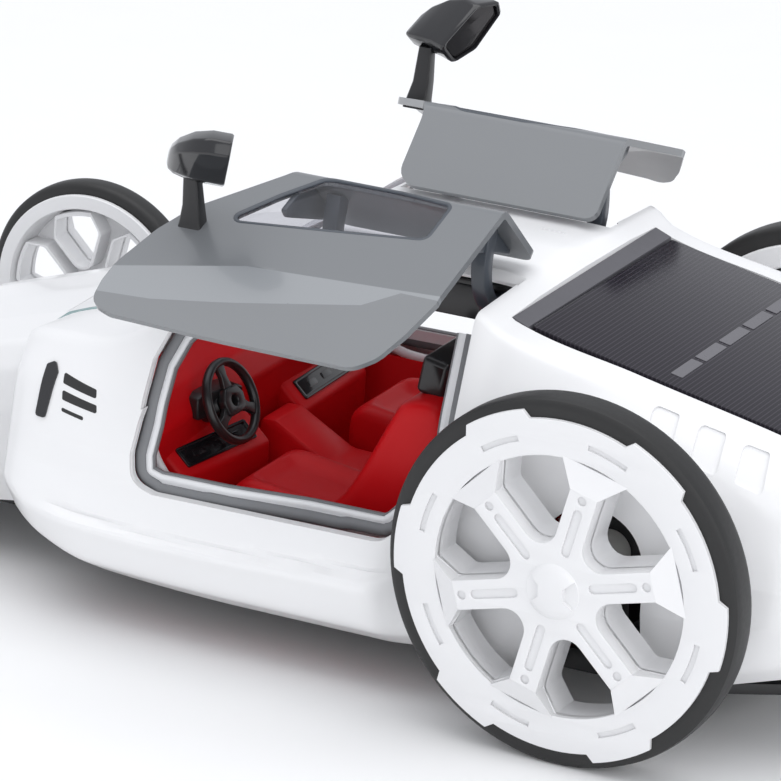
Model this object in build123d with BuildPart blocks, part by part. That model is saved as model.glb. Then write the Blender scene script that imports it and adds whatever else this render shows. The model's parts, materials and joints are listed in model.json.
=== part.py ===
from build123d import *
import math
import os

# Solar-powered toy car kit with gull-wing doors.  Millimetres, +X forward, +Y left, +Z up.
# The origin is on the ground under the middle of the car.  Stations along the car are
# written from the rear axle, forward positive, and at() turns them into model X.

REAR_AXLE_X = -65.0
WHEELBASE = 142.6
REAR_RADIUS = 30.0          # rear tyre
FRONT_RADIUS = 20.9         # front tyre
WHEEL_FACE = 51.0           # outer face of the wheels' flanges, from the centre plane
SPOKE_RISE = 1.7            # the spokes of a rear wheel stand proud of its flange by this much
AXLE_RADIUS = 1.5
RUNNING_GAP = 0.06          # radial clearance of an axle or pin that turns
SHELL_WALL = 1.6            # body shell
DOOR_WALL = 1.2
DOOR_GAP = 0.4              # between a closed door and the body opening
HINGE_Y = 11.0              # door hinge axis, left side
HINGE_Z = 59.0
OPEN_ANGLE = 47.0           # doors are modelled open by this angle
DECK_SLOPE = 0.207          # fall of the rear deck per unit of length
PANEL_FRONT = 19.2          # station of the solar panel's front edge
PANEL_TOP = 60.7            # height of the panel's face at its front edge
PANEL_LENGTH = 54.0
PANEL_HALF_WIDTH = 24.6
COLUMN_RAKE = 24.0          # steering column, degrees above horizontal towards the driver
GEAR_MODULE = 0.8
AXLE_TEETH = 30
PINION_TEETH = 10
GEAR_CENTRES = GEAR_MODULE * (AXLE_TEETH + PINION_TEETH) / 2

os.makedirs("parts", exist_ok=True)


def at(station):
    """Model X of a station measured from the rear axle."""
    return REAR_AXLE_X + station


def save(part, name):
    part.label = name
    export_step(part, f"parts/{name}.step")


def save_pair(part, name):
    """Write the left-hand piece and its mirror image on the right."""
    save(part, f"{name}_left")
    save(mirror(part, about=Plane.XZ), f"{name}_right")


def inset(profile, depth, centred=True):
    """Move an outline, listed outward and down, inward by depth.

    A centred one starts on the centre plane and stays on it."""
    steps = [(b[0] - a[0], b[1] - a[1]) for a, b in zip(profile, profile[1:])]
    normals = [(dz / math.hypot(dy, dz), -dy / math.hypot(dy, dz)) for dy, dz in steps]
    first = (-normals[0][0], normals[0][1]) if centred else normals[0]
    corners = []
    for (y, z), before, after in zip(profile, [first] + normals, normals + normals[-1:]):
        scale = depth / (1 + before[0] * after[0] + before[1] * after[1])
        corners.append((y + scale * (before[0] + after[0]), z + scale * (before[1] + after[1])))
    return corners


def whole(profile):
    """Close a half outline across the centre plane."""
    return profile + [(-y, z) for y, z in reversed(profile) if y > 0]


# Half outlines (y, z) of the closed body, from the roof centre down to the sill's foot.
CABIN = [(0, 65.5), (16, 64.6), (31.5, 64.3), (40.9, 41.75), (43.3, 32.4), (43.4, 27.6),
         (46, 21), (43.5, 12), (37, 8)]
BODY = {
    -42: [(0, 47.4), (16, 47.2), (27, 46.3), (30, 42), (31, 37), (31.4, 32),
          (31.2, 27), (30, 22), (27, 18)],
    -30: [(0, 51), (16, 50.8), (30, 49.8), (35, 44), (37, 36), (38, 31),
          (38, 25), (36, 18), (32, 14.5)],
    0: [(0, 57.4), (16, 57.2), (30.5, 56.2), (37, 49.5), (39.5, 38), (40.5, 31),
        (41, 23), (40, 12), (35, 8.2)],
    21.5: [(0, 62), (16, 61.9), (30.8, 61), (39.4, 43), (41.4, 34), (41.7, 28),
           (41.8, 21), (41, 12), (36, 8)],
    25: [(0, 65), (16, 64.2), (31.2, 63.4), (40, 42), (41.8, 33), (42, 28),
         (42, 21), (41, 12), (36, 8)],
    31: [(0, 65.5), (16, 64.6), (31.5, 64.3), (40.9, 41.75), (42.4, 33), (42.6, 28),
         (42.6, 21), (41.5, 12), (36, 8)],
    37: CABIN,
    62: CABIN,
    89: [(0, 50), (16, 49.8), (37, 49), (40.9, 41.75), (43.3, 32.4), (43.4, 27.6),
         (46, 21), (43, 12.5), (36, 8.5)],
    99: [(0, 46.5), (16, 46.8), (35.5, 48), (39.8, 41), (42, 33), (42.8, 28),
         (45, 22), (41, 14.5), (34, 10)],
    105: [(0, 44.5), (16, 44.8), (33, 46.5), (38, 40.5), (40, 33), (41, 29),
          (42.5, 24), (38.5, 17), (31, 12)],
    110: [(0, 43), (16, 42.8), (26.5, 41.5), (28.5, 37.5), (29.5, 32), (30, 29),
          (31, 25), (28.5, 19), (24, 14)],
}
NOSE = {
    110.4: [(0, 42.9), (14, 42.6), (25.5, 41.3), (28, 37), (29, 30), (28.5, 19), (24, 12)],
    123: [(0, 39), (13, 38.7), (23, 37.2), (26, 33), (27, 26), (26.5, 16), (23, 10)],
    145: [(0, 32), (13, 31.7), (22, 30.2), (25.5, 27), (26.5, 21), (26, 14), (22.5, 9)],
    163: [(0, 25.5), (13, 25), (21, 23.5), (24, 21.5), (25, 18), (24.5, 13), (21, 9.5)],
    172: [(0, 20.5), (11, 20), (17, 19), (19, 17.8), (19.5, 16), (19, 13.5), (16, 12)],
}
DOOR_SECTION = [(16, 65), (31.5, 64.3), (40.9, 41.75), (43.3, 32.4), (43.3, 27)]
DOOR_OUTLINE = [(25.9, 72), (25.9, 42), (28.8, 35.5), (31.5, 30.8), (35, 27.8), (74.5, 27.4), (78, 28.6),
                (79.8, 32), (79.5, 38), (77.8, 45.5), (75, 51.5), (62, 64.8), (62, 72)]
SWING_RELIEF = [(60, 60), (77.8, 45.5), (79.4, 48), (77.4, 53), (64.6, 66.6), (60, 66.6)]
WINDOW_OUTLINE = [(34.4, 54.6), (34.4, 62.6), (57.2, 63.2), (68.4, 50.4), (50.5, 52.6)]

SEAL_SECTION = [(32.2, 62.1), (40.9, 41.75), (43.3, 32.4), (43.4, 27.6), (44.4, 25)]
SCREEN_OUTLINE = [(at(64.5), 25.5), (at(64.5), -25.5), (at(86), -31), (at(86), 31)]
VENT_OUTLINE = [(99.6, 35.2), (97.6, 35.2), (96.4, 42.6), (97.4, 44), (99, 43.2)]


def outlines(stations, depth=0.0, skirt=0.0):
    """Closed outlines for a loft, one at each station, moved inward by depth.

    With skirt, the outline's foot runs down by that much, to open a hollow downwards."""
    faces = []
    for station, profile in stations.items():
        half = inset(profile, depth) if depth else list(profile)
        if skirt:
            half.append((half[-1][0], half[-1][1] - skirt))
        with BuildSketch(Plane.YZ.offset(at(station))) as section:
            with BuildLine():
                Polyline(*whole(half), close=True)
            make_face()
        faces.append(section.sketch)
    return faces


def side_outline(points, grow=0.0, start=0.0):
    """Sketch in the upright plane y = start, outlined in station and height."""
    with BuildSketch(Plane.XZ.offset(-start)) as outline:
        with BuildLine():
            Polyline(*[(at(x), z) for x, z in points], close=True)
        make_face()
        if grow:
            offset(amount=grow, kind=Kind.INTERSECTION)
    return outline.sketch


def strip(profile, outer, inner, station):
    """Sketch across the car of the strip between two depths under a profile."""
    with BuildSketch(Plane.YZ.offset(at(station))) as section:
        with BuildLine():
            Polyline(*inset(profile, outer, False), *reversed(inset(profile, inner, False)), close=True)
        make_face()
    return section.sketch


def between(stations, first, last):
    return {x: p for x, p in stations.items() if first <= x <= last}


def deck(station, rise=0.0):
    """Height of the solar panel's face plane at a station."""
    return PANEL_TOP + DECK_SLOPE * (station - PANEL_FRONT) + rise


# ---------------------------------------------------------------- body shell and nose
HINGE_AXIS = Axis((0, HINGE_Y, HINGE_Z), (1, 0, 0))
PANEL_REAR = PANEL_FRONT - PANEL_LENGTH
RECESS_FRONT = 22.2
SWEEP_INNER = 6.4           # the door's inner edge sweeps outside this radius about the hinge
SWEEP_OUTER = 8.4
DRAIN = 6.0                 # how far a hollow runs out below the shell's foot

inner_body = dict(BODY)
inner_body[-42 + SHELL_WALL] = inner_body.pop(-42)
inner_body[112] = inner_body.pop(110)
inner_body = dict(sorted(inner_body.items()))

with BuildPart() as body_shell:
    loft(outlines(BODY), ruled=True)
    loft(outlines(inner_body, SHELL_WALL, DRAIN), ruled=True, mode=Mode.SUBTRACT)
    for sign in (1, -1):
        # door opening, relieved along the slanted pillar for the door's swing
        extrude(side_outline(DOOR_OUTLINE, DOOR_GAP, sign * (16 - DOOR_GAP)), -sign * 40, mode=Mode.SUBTRACT)
        extrude(side_outline(SWING_RELIEF, start=sign * 28), -sign * 20, mode=Mode.SUBTRACT)
        # path of the door's inner edge over the roof
        with BuildSketch(Plane.YZ.offset(at(25.2))):
            with Locations((sign * HINGE_Y, HINGE_Z)):
                Circle(SWEEP_OUTER)
                Circle(SWEEP_INNER, mode=Mode.SUBTRACT)
            with Locations((sign * (HINGE_Y + 8.4), HINGE_Z + 2)):
                Rectangle(20, 16, align=(Align.CENTER, Align.MIN), mode=Mode.INTERSECT)
        extrude(amount=38.4, mode=Mode.SUBTRACT)
    # windscreen opening
    with BuildSketch(Plane.XY.offset(40)):
        with BuildLine():
            Polyline(*SCREEN_OUTLINE, close=True)
        make_face()
    extrude(amount=40, mode=Mode.SUBTRACT)
    # recess for the solar panel
    extrude(side_outline([(RECESS_FRONT, deck(RECESS_FRONT, 6)), (RECESS_FRONT, deck(RECESS_FRONT, -3)),
                          (PANEL_REAR - 0.6, deck(PANEL_REAR, -3)), (PANEL_REAR - 0.6, deck(PANEL_REAR, 6))],
                         start=-PANEL_HALF_WIDTH - 0.8),
            -2 * PANEL_HALF_WIDTH - 1.6, mode=Mode.SUBTRACT)
    # rear axle arches, open downwards so that the wheel struts show
    with BuildSketch(Plane.XZ.offset(-60)):
        with Locations((at(0), REAR_RADIUS)):
            Circle(9)
            Rectangle(18, 40, align=(Align.CENTER, Align.MAX))
    extrude(amount=120, mode=Mode.SUBTRACT)
save(body_shell.part, "body_shell")

inner_nose = dict(NOSE)
inner_nose[109] = inner_nose.pop(110.4)
inner_nose[172 - SHELL_WALL] = inner_nose.pop(172)
inner_nose = dict(sorted(inner_nose.items()))

with BuildPart() as nose_section:
    loft(outlines(NOSE), ruled=True)
    loft(outlines(inner_nose, SHELL_WALL, DRAIN), ruled=True, mode=Mode.SUBTRACT)
    with BuildSketch(Plane.XZ.offset(-60)):
        with Locations((at(WHEELBASE), FRONT_RADIUS)):
            Circle(3.5)
    extrude(amount=120, mode=Mode.SUBTRACT)
save(nose_section.part, "nose_section")

SCREEN_DEPTH = 0.3
with BuildPart() as windscreen:
    loft(outlines(between(BODY, 62, 89), SCREEN_DEPTH), ruled=True)
    loft(outlines(between(BODY, 62, 89), SCREEN_DEPTH + 1, DRAIN), ruled=True, mode=Mode.SUBTRACT)
    with BuildSketch(Plane.XY.offset(40)):
        with BuildLine():
            Polyline(*SCREEN_OUTLINE, close=True)
        make_face()
    extrude(amount=40, mode=Mode.INTERSECT)
save(windscreen.part, "windscreen")

# dark bar set on each front flank, raked like the panel edge behind it
with BuildPart() as vent_bar:
    loft(outlines(between(BODY, 89, 105), -0.25), ruled=True)
    loft(outlines(between(BODY, 89, 105)), ruled=True, mode=Mode.SUBTRACT)
    extrude(side_outline(VENT_OUTLINE, start=30), -20, mode=Mode.INTERSECT)
save_pair(vent_bar.part, "vent_bar")

# ---------------------------------------------------------------- door openings
SEAL_LAP = 1.6              # how far the seal shows inside the opening
SEAL_WALL = 1.0
with BuildPart() as door_seal:
    extrude(strip(SEAL_SECTION, SHELL_WALL, SHELL_WALL + SEAL_WALL, 20), 66)
    extrude(side_outline(DOOR_OUTLINE, DOOR_GAP + 1.0), -60, mode=Mode.INTERSECT)
    extrude(side_outline(DOOR_OUTLINE, -SEAL_LAP), -60, mode=Mode.SUBTRACT)
    add(body_shell.part, mode=Mode.SUBTRACT)
save_pair(door_seal.part, "door_seal")

# ---------------------------------------------------------------- doors, drawn closed and then opened
def opened(part):
    return part.rotate(HINGE_AXIS, OPEN_ANGLE)


with BuildPart() as closed_door:
    extrude(strip(DOOR_SECTION, 0, DOOR_WALL, 24), 58)
    extrude(side_outline(DOOR_OUTLINE), -60, mode=Mode.INTERSECT)
    extrude(side_outline(WINDOW_OUTLINE), -60, mode=Mode.SUBTRACT)
with BuildPart() as door_shell:
    add(opened(closed_door.part))
save_pair(door_shell.part, "door")

GLASS_DEPTH = 0.35
with BuildPart() as closed_glass:
    extrude(strip(DOOR_SECTION, GLASS_DEPTH, GLASS_DEPTH + 0.8, 24), 58)
    extrude(side_outline(WINDOW_OUTLINE), -60, mode=Mode.INTERSECT)
with BuildPart() as door_window:
    add(opened(closed_glass.part))
save_pair(door_window.part, "door_window")

# ---------------------------------------------------------------- door hinges and mirrors
ARM_STATIONS = (33, 57)
ARM_WIDTH = 2.4
PIN_RADIUS = 1.0
FRAME_BACK, FRAME_FRONT = 29.5, 60.5

with BuildPart() as hinge_frame:
    with BuildSketch(Plane.YZ.offset(at(FRAME_BACK))):
        with BuildLine():
            Polyline(*whole([(0, 62.9), (14.8, 62.4), (14.8, 55.8), (8, 55.8), (8, 61)]), close=True)
        make_face()
    extrude(amount=FRAME_FRONT - FRAME_BACK)
    for sign in (1, -1):
        for station in ARM_STATIONS:
            with Locations((at(station), sign * (HINGE_Y + 1), HINGE_Z)):
                Box(ARM_WIDTH + 0.6, 8, 6.4, mode=Mode.SUBTRACT)
        with Locations(Plane((at(FRAME_BACK), sign * HINGE_Y, HINGE_Z), z_dir=(1, 0, 0))):
            Cylinder(PIN_RADIUS, 80, mode=Mode.SUBTRACT)
save(hinge_frame.part, "hinge_frame")

with BuildPart() as hinge_pin:
    with BuildSketch(Plane.YZ.offset(at(FRAME_BACK - 0.5))):
        with Locations((HINGE_Y, HINGE_Z)):
            Circle(PIN_RADIUS)
    extrude(amount=FRAME_FRONT - FRAME_BACK + 1)
save_pair(hinge_pin.part, "hinge_pin")

with BuildPart() as closed_arms:
    for station in ARM_STATIONS:
        with BuildSketch(Plane.YZ.offset(at(station) - ARM_WIDTH / 2)):
            with BuildLine():
                FilletPolyline((HINGE_Y, HINGE_Z), (15.6, 54.8), (21, 55), (27.5, 60.5), radius=1.5)
            trace(line_width=2.4)
            with Locations((HINGE_Y, HINGE_Z)):
                Circle(2.3)
            with BuildLine():
                Polyline((25.5, 58.2), (29.2, 58.6), (30.2, 63.4), (22.5, 63.4), close=True)
            make_face()
            with Locations((HINGE_Y, HINGE_Z)):
                Circle(PIN_RADIUS + RUNNING_GAP, mode=Mode.SUBTRACT)
        extrude(amount=ARM_WIDTH)
    add(closed_door.part, mode=Mode.SUBTRACT)
with BuildPart() as hinge_arms:
    add(opened(closed_arms.part))
save_pair(hinge_arms.part, "hinge_arms")

# The mirrors are drawn on the open door, where their stalks stand upright.
STALK_FOOT = (at(73), 37.2, 71.0)
with BuildPart() as mirror_stalk:
    with BuildSketch(Plane((STALK_FOOT[0], STALK_FOOT[1], 70.5))):
        Rectangle(4.4, 3.0)
    with BuildSketch(Plane((STALK_FOOT[0] - 0.6, STALK_FOOT[1] + 0.8, 75))):
        Rectangle(3.0, 2.4)
    with BuildSketch(Plane((STALK_FOOT[0] - 0.8, STALK_FOOT[1] + 1.6, 81.5))):
        Rectangle(2.4, 2.2)
    loft(ruled=True)
    add(door_shell.part, mode=Mode.SUBTRACT)
stalk_top = mirror_stalk.part.solids().sort_by(Axis.Z)[-1]

# The mirror's face looks back, inward and a little down.  Its long axis rises outward, and
# the housing tapers forward to a blunt tip over the stalk.
MIRROR_FACE = Plane((at(64.8), 40.2, 84.2), x_dir=(-0.46, 0.71, 0.54), z_dir=(0.884, 0.432, 0.18))
MIRROR_OUTLINE = [(6.9, 1.1), (6.4, -1.2), (-0.6, -3.9), (-5.4, -3.1), (-6.0, 1.6), (3.2, 3.6)]


def mirror_ring(depth, scale=1.0, slide=0.0):
    with BuildSketch(MIRROR_FACE.offset(depth)) as ring_sketch:
        with Locations((-slide, 0)):
            Polygon(*[(u * scale, v * scale) for u, v in MIRROR_OUTLINE], align=None)
    return ring_sketch.sketch


with BuildPart() as mirror_housing:
    loft([mirror_ring(0), mirror_ring(3.0, 0.98, 0.8), mirror_ring(7.4, 0.42, 5.6)], ruled=True)
    extrude(mirror_ring(0, 0.86), amount=1.0, mode=Mode.SUBTRACT)
with BuildPart() as stalk:
    add(stalk_top)
    add(mirror_housing.part, mode=Mode.SUBTRACT)
save_pair(stalk.part, "mirror_stalk")
save_pair(mirror_housing.part, "mirror_housing")

with BuildPart() as mirror_glass:
    extrude(mirror_ring(0.4, 0.84), amount=0.6)
save_pair(mirror_glass.part, "mirror_glass")

# ---------------------------------------------------------------- chassis
PAN_BOTTOM = 8.2
PAN_TOP = 10.0
TOWER_INNER, TOWER_OUTER = 29.8, 32.8
BUSH_RADIUS = 3.4
SCREW_SPOTS = [(at(36), 30), (at(36), -30), (at(84), 30), (at(84), -30), (at(15), 16), (at(15), -16)]

HEAD_RADIUS, HEAD_HEIGHT = 1.9, 1.0
PAN_EDGE = [(at(-27), 24), (at(-12), 32), (at(84), 33), (at(100), 25), (at(110), 19), (at(158), 18),
            (at(164), 12)]

with BuildPart() as chassis_pan:
    with BuildSketch(Plane.XY.offset(PAN_BOTTOM)):
        with BuildLine():
            Polyline(*PAN_EDGE, *[(x, -y) for x, y in reversed(PAN_EDGE)], close=True)
        make_face()
        with Locations(*SCREW_SPOTS):
            Circle(1.0, mode=Mode.SUBTRACT)
    extrude(amount=PAN_TOP - PAN_BOTTOM)
    # counterbores that sink the screw heads
    with BuildSketch(Plane.XY.offset(PAN_BOTTOM)):
        with Locations(*SCREW_SPOTS):
            Circle(HEAD_RADIUS + 0.2)
    extrude(amount=HEAD_HEIGHT + 0.1, mode=Mode.SUBTRACT)
    for sign in (1, -1):
        # rear axle towers: a strut that widens downward, with a window each side of a rib
        with BuildSketch(Plane.XZ.offset(-sign * TOWER_INNER)):
            with BuildLine():
                Polyline((at(-15), PAN_BOTTOM + 0.5), (at(15), PAN_BOTTOM + 0.5), (at(5), 35), (at(-5), 35),
                         close=True)
            make_face()
            with BuildLine():
                Polyline((at(-10), 12), (at(-2), 12), (at(-2), 23), (at(-5.5), 23), close=True)
            make_face(mode=Mode.SUBTRACT)
            with BuildLine():
                Polyline((at(10), 12), (at(2), 12), (at(2), 23), (at(5.5), 23), close=True)
            make_face(mode=Mode.SUBTRACT)
            with Locations((at(0), REAR_RADIUS)):
                Circle(BUSH_RADIUS, mode=Mode.SUBTRACT)
        extrude(amount=-sign * (TOWER_OUTER - TOWER_INNER))
        with BuildSketch(Plane.XZ.offset(-sign * 17)):
            with BuildLine():
                Polyline((at(WHEELBASE - 9), PAN_TOP), (at(WHEELBASE + 9), PAN_TOP),
                         (at(WHEELBASE + 5), 25.5), (at(WHEELBASE - 5), 25.5), close=True)
            make_face()
            with Locations((at(WHEELBASE), FRONT_RADIUS)):
                Circle(BUSH_RADIUS, mode=Mode.SUBTRACT)
        extrude(amount=-sign * 3)
save(chassis_pan.part, "chassis_pan")

with BuildPart() as screws:
    with BuildSketch(Plane.XY.offset(PAN_BOTTOM + 0.1)):
        with Locations(*SCREW_SPOTS):
            Circle(HEAD_RADIUS)
    extrude(amount=HEAD_HEIGHT)
    with BuildSketch(Plane.XY.offset(PAN_BOTTOM + 0.1)):
        with Locations(*SCREW_SPOTS):
            Circle(1.0)
    extrude(amount=2.9)
    with BuildSketch(Plane.XY.offset(PAN_BOTTOM + 0.1)):
        with Locations(*SCREW_SPOTS):
            Rectangle(2.6, 0.5)
            Rectangle(0.5, 2.6)
    extrude(amount=0.6, mode=Mode.SUBTRACT)
save(screws.part, "chassis_screws")


def ring(radius, bore, x, z, inner_y, outer_y):
    """A bush or collar on a cross axle, between two distances from the centre plane."""
    with BuildPart() as collar:
        with BuildSketch(Plane.XZ.offset(-inner_y)):
            with Locations((x, z)):
                Circle(radius)
                Circle(bore, mode=Mode.SUBTRACT)
        extrude(amount=-(outer_y - inner_y))
    return collar.part


save_pair(ring(BUSH_RADIUS, AXLE_RADIUS + RUNNING_GAP, at(0), REAR_RADIUS, 29.8, 42.6), "rear_bush")
save_pair(ring(BUSH_RADIUS, AXLE_RADIUS + RUNNING_GAP, at(WHEELBASE), FRONT_RADIUS, 17, 30.5), "front_bush")

# ---------------------------------------------------------------- cabin
TUB_BACK, TUB_FRONT = 28.5, 90.0
TUB_HALF = 37.4
with BuildPart() as interior_tub:
    with BuildSketch(Plane.XY.offset(PAN_TOP)):
        with Locations((at((TUB_BACK + TUB_FRONT) / 2), 0)):
            Rectangle(TUB_FRONT - TUB_BACK, 2 * TUB_HALF)
    extrude(amount=15.5)
    with BuildSketch(Plane.XY.offset(PAN_TOP + 1.2)):
        with Locations((at((TUB_BACK + TUB_FRONT) / 2), 0)):
            Rectangle(TUB_FRONT - TUB_BACK - 2.4, 2 * TUB_HALF - 2.4)
    extrude(amount=20, mode=Mode.SUBTRACT)
    with BuildSketch(Plane.XY.offset(PAN_TOP)):
        with Locations(*[spot for spot in SCREW_SPOTS if spot[0] > at(TUB_BACK)]):
            Circle(1.0)
    extrude(amount=1.2, mode=Mode.SUBTRACT)
    # rear bulkhead
    with Locations((at(TUB_BACK + 0.6), 0, PAN_TOP + 15.5)):
        Box(1.2, 60, 22, align=(Align.CENTER, Align.CENTER, Align.MIN))
    add(body_shell.part, mode=Mode.SUBTRACT)
save(interior_tub.part, "interior_tub")

FLOOR = PAN_TOP + 1.2
with BuildPart() as dashboard:
    with BuildSketch(Plane.XZ.offset(-36)):
        with BuildLine():
            Polyline((at(88.5), FLOOR), (at(81), FLOOR), (at(79), 27), (at(77), 34), (at(80), 39),
                     (at(86.5), 43), (at(88.5), 42), close=True)
        make_face()
    extrude(amount=72)
    # one raked pod in front of each seat
    for sign in (1, -1):
        with BuildSketch(Plane.XZ.offset(-sign * 12)):
            with BuildLine():
                Polyline((at(80.5), FLOOR), (at(73), FLOOR), (at(72), 25.5), (at(78.5), 30.5),
                         (at(80.5), 30.5), close=True)
            make_face()
        extrude(amount=-sign * 22)
save(dashboard.part, "dashboard")

with BuildPart() as display_strips:
    for sign in (1, -1):
        with BuildSketch(Plane((at(75.2), sign * 23, 27.97), x_dir=(0, 1, 0), z_dir=(-5, 0, 6.5))):
            RectangleRounded(17, 3.6, 0.5)
        extrude(amount=0.4)
save(display_strips.part, "display_strips")

with BuildPart() as centre_console:
    with BuildSketch(Plane.XZ.offset(-4.5)):
        with BuildLine():
            Polyline((at(80.5), FLOOR), (at(33), FLOOR), (at(33), 22), (at(50), 21), (at(66), 21.5),
                     (at(76), 27), (at(78.8), 27), (at(80.5), 21), close=True)
        make_face()
    extrude(amount=9)
    fillet(centre_console.edges().filter_by(Axis.Y).group_by(Axis.Z)[-1], 1.0)
with BuildPart() as console:
    add(centre_console.part)
    add(dashboard.part, mode=Mode.SUBTRACT)
save(console.part, "centre_console")

SEAT_Y = 20.5
SEAT_HALF = 9.5
with BuildPart() as seat:
    with BuildSketch(Plane.XZ.offset(-(SEAT_Y - SEAT_HALF))):
        with BuildLine():
            Polyline((at(70.5), FLOOR), (at(31.5), FLOOR), (at(31.5), 43), (at(34), 45.6), (at(39.5), 44.6),
                     (at(48.5), 24), (at(52), 21.4), (at(68), 23.2), (at(70.5), 21), close=True)
        make_face()
    extrude(amount=-2 * SEAT_HALF)
    fillet(seat.edges().filter_by(Axis.Y).group_by(Axis.X)[-1], 1.5)
save_pair(seat.part, "seat")

with BuildPart() as headrest:
    with Locations(Location((at(36.2), SEAT_Y - 1.5, 48.6), (0, -12, 0))):
        Box(5.0, 12.0, 6.6)
    fillet(headrest.edges(), 1.0)
    add(seat.part, mode=Mode.SUBTRACT)
save_pair(headrest.part, "headrest")

COLUMN_TOP = (at(76.0), SEAT_Y - 0.5, 35.2)
COLUMN_AXIS = (-math.cos(math.radians(COLUMN_RAKE)), 0, math.sin(math.radians(COLUMN_RAKE)))
WHEEL_PLANE = Plane(COLUMN_TOP, x_dir=(0, 1, 0), z_dir=COLUMN_AXIS)
with BuildPart() as column:
    with BuildSketch(WHEEL_PLANE.offset(-0.9)):
        Circle(2.2)
    extrude(amount=-5)
    with BuildSketch(WHEEL_PLANE.offset(-2)):
        Rectangle(9, 2)
    extrude(amount=-1.5)
    with BuildSketch(WHEEL_PLANE.offset(-0.9)):
        Circle(0.9)
    extrude(amount=2.4)
    add(dashboard.part, mode=Mode.SUBTRACT)
with BuildPart() as steering_column:
    add(column.part.solids().sort_by(SortBy.VOLUME)[-1])
save(steering_column.part, "steering_column")

STEER_RADIUS = 7.2
with BuildPart() as steering_wheel:
    with BuildSketch(WHEEL_PLANE.offset(-0.6)):
        Circle(2.6)
        for angle in (90, 210, 330):
            with Locations(Location((0, 0, 0), (0, 0, angle))):
                Rectangle(STEER_RADIUS - 0.3, 1.7, align=(Align.MIN, Align.CENTER))
    extrude(amount=1.4)
    with BuildSketch(WHEEL_PLANE.offset(-0.75)):
        Circle(STEER_RADIUS)
        Circle(STEER_RADIUS - 1.5, mode=Mode.SUBTRACT)
    extrude(amount=1.6)
    with BuildSketch(WHEEL_PLANE.offset(-1)):
        Circle(0.9 + RUNNING_GAP)
    extrude(amount=4, mode=Mode.SUBTRACT)
save(steering_wheel.part, "steering_wheel")

# ---------------------------------------------------------------- solar panel
PANEL_THICK = 1.5
TRAY_HALF = PANEL_HALF_WIDTH + 0.7
with BuildPart() as solar_tray:
    # a floor under the panel, with a ramp in front of it and a low lip behind
    tray_outline = [(RECESS_FRONT - 0.1, deck(RECESS_FRONT, 0.5)),
                    (PANEL_FRONT + 0.1, deck(PANEL_FRONT)),
                    (PANEL_FRONT + 0.1, deck(PANEL_FRONT, -PANEL_THICK - 0.05)),
                    (PANEL_REAR - 0.1, deck(PANEL_REAR, -PANEL_THICK - 0.05)),
                    (PANEL_REAR - 0.1, deck(PANEL_REAR, 0.2)),
                    (PANEL_REAR - 0.5, deck(PANEL_REAR, 0.2)),
                    (PANEL_REAR - 0.5, deck(PANEL_REAR, -PANEL_THICK - 1)),
                    (RECESS_FRONT - 0.1, deck(RECESS_FRONT, -PANEL_THICK - 1))]
    extrude(side_outline(tray_outline, start=-TRAY_HALF), -2 * TRAY_HALF)
save(solar_tray.part, "solar_tray")

with BuildPart() as solar_panel:
    extrude(side_outline([(PANEL_FRONT, deck(PANEL_FRONT)), (PANEL_FRONT, deck(PANEL_FRONT, -PANEL_THICK)),
                          (PANEL_REAR, deck(PANEL_REAR, -PANEL_THICK)), (PANEL_REAR, deck(PANEL_REAR))],
                         start=-PANEL_HALF_WIDTH), -2 * PANEL_HALF_WIDTH)
save(solar_panel.part, "solar_panel")

DECK_PLANE = Plane((at(-4.4), 0, deck(-4.4)), x_dir=(0, 1, 0), z_dir=(-DECK_SLOPE, 0, 1))
with BuildPart() as cell_tabs:
    with BuildSketch(DECK_PLANE):
        with GridLocations(8.6, 1, 5, 1):
            Rectangle(7.6, 2.2)
    extrude(amount=0.12)
save(cell_tabs.part, "cell_tabs")

# ---------------------------------------------------------------- drive
MOTOR_ANGLE = math.radians(-18)
MOTOR_X = at(GEAR_CENTRES * math.cos(MOTOR_ANGLE))
MOTOR_Z = REAR_RADIUS + GEAR_CENTRES * math.sin(MOTOR_ANGLE)
SHAFT_RADIUS = 1.0


def gear(teeth, x, z, bore, inner_y, width, turn=0.0):
    """A spur gear on a cross shaft, with straight-sided teeth that run with play."""
    pitch = GEAR_MODULE * teeth / 2
    root = pitch - 1.0
    tip = pitch + 0.6
    with BuildPart() as wheel:
        with BuildSketch(Plane.XZ.offset(-inner_y)):
            with Locations((x, z)):
                Circle(root)
                with PolarLocations(0, teeth, start_angle=turn):
                    Polygon((root - 0.3, -0.72), (tip, -0.26), (tip, 0.26), (root - 0.3, 0.72), align=None)
                Circle(bore, mode=Mode.SUBTRACT)
        extrude(amount=-width)
    return wheel.part


PINION_TURN = 18.0          # puts a pinion tooth in the axle gear's gap
save(gear(AXLE_TEETH, at(0), REAR_RADIUS, AXLE_RADIUS, 8.5, 3.0), "axle_gear")
save(gear(PINION_TEETH, MOTOR_X, MOTOR_Z, SHAFT_RADIUS, 8.0, 4.0, PINION_TURN), "motor_pinion")

with BuildPart() as motor_shaft:
    with BuildSketch(Plane.XZ.offset(-5.2)):
        with Locations((MOTOR_X, MOTOR_Z)):
            Circle(SHAFT_RADIUS)
    extrude(amount=-7.4)
save(motor_shaft.part, "motor_shaft")

with BuildPart() as motor_can:
    with BuildSketch(Plane.XZ.offset(20)):
        with Locations((MOTOR_X, MOTOR_Z)):
            Circle(10)
            Rectangle(20, 15, mode=Mode.INTERSECT)
    extrude(amount=-25)
    with BuildSketch(Plane.XZ.offset(-4.9)):
        with Locations((MOTOR_X, MOTOR_Z)):
            Circle(3)
            Circle(SHAFT_RADIUS + 0.3, mode=Mode.SUBTRACT)
    extrude(amount=-1.2)
save(motor_can.part, "motor_can")

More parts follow.
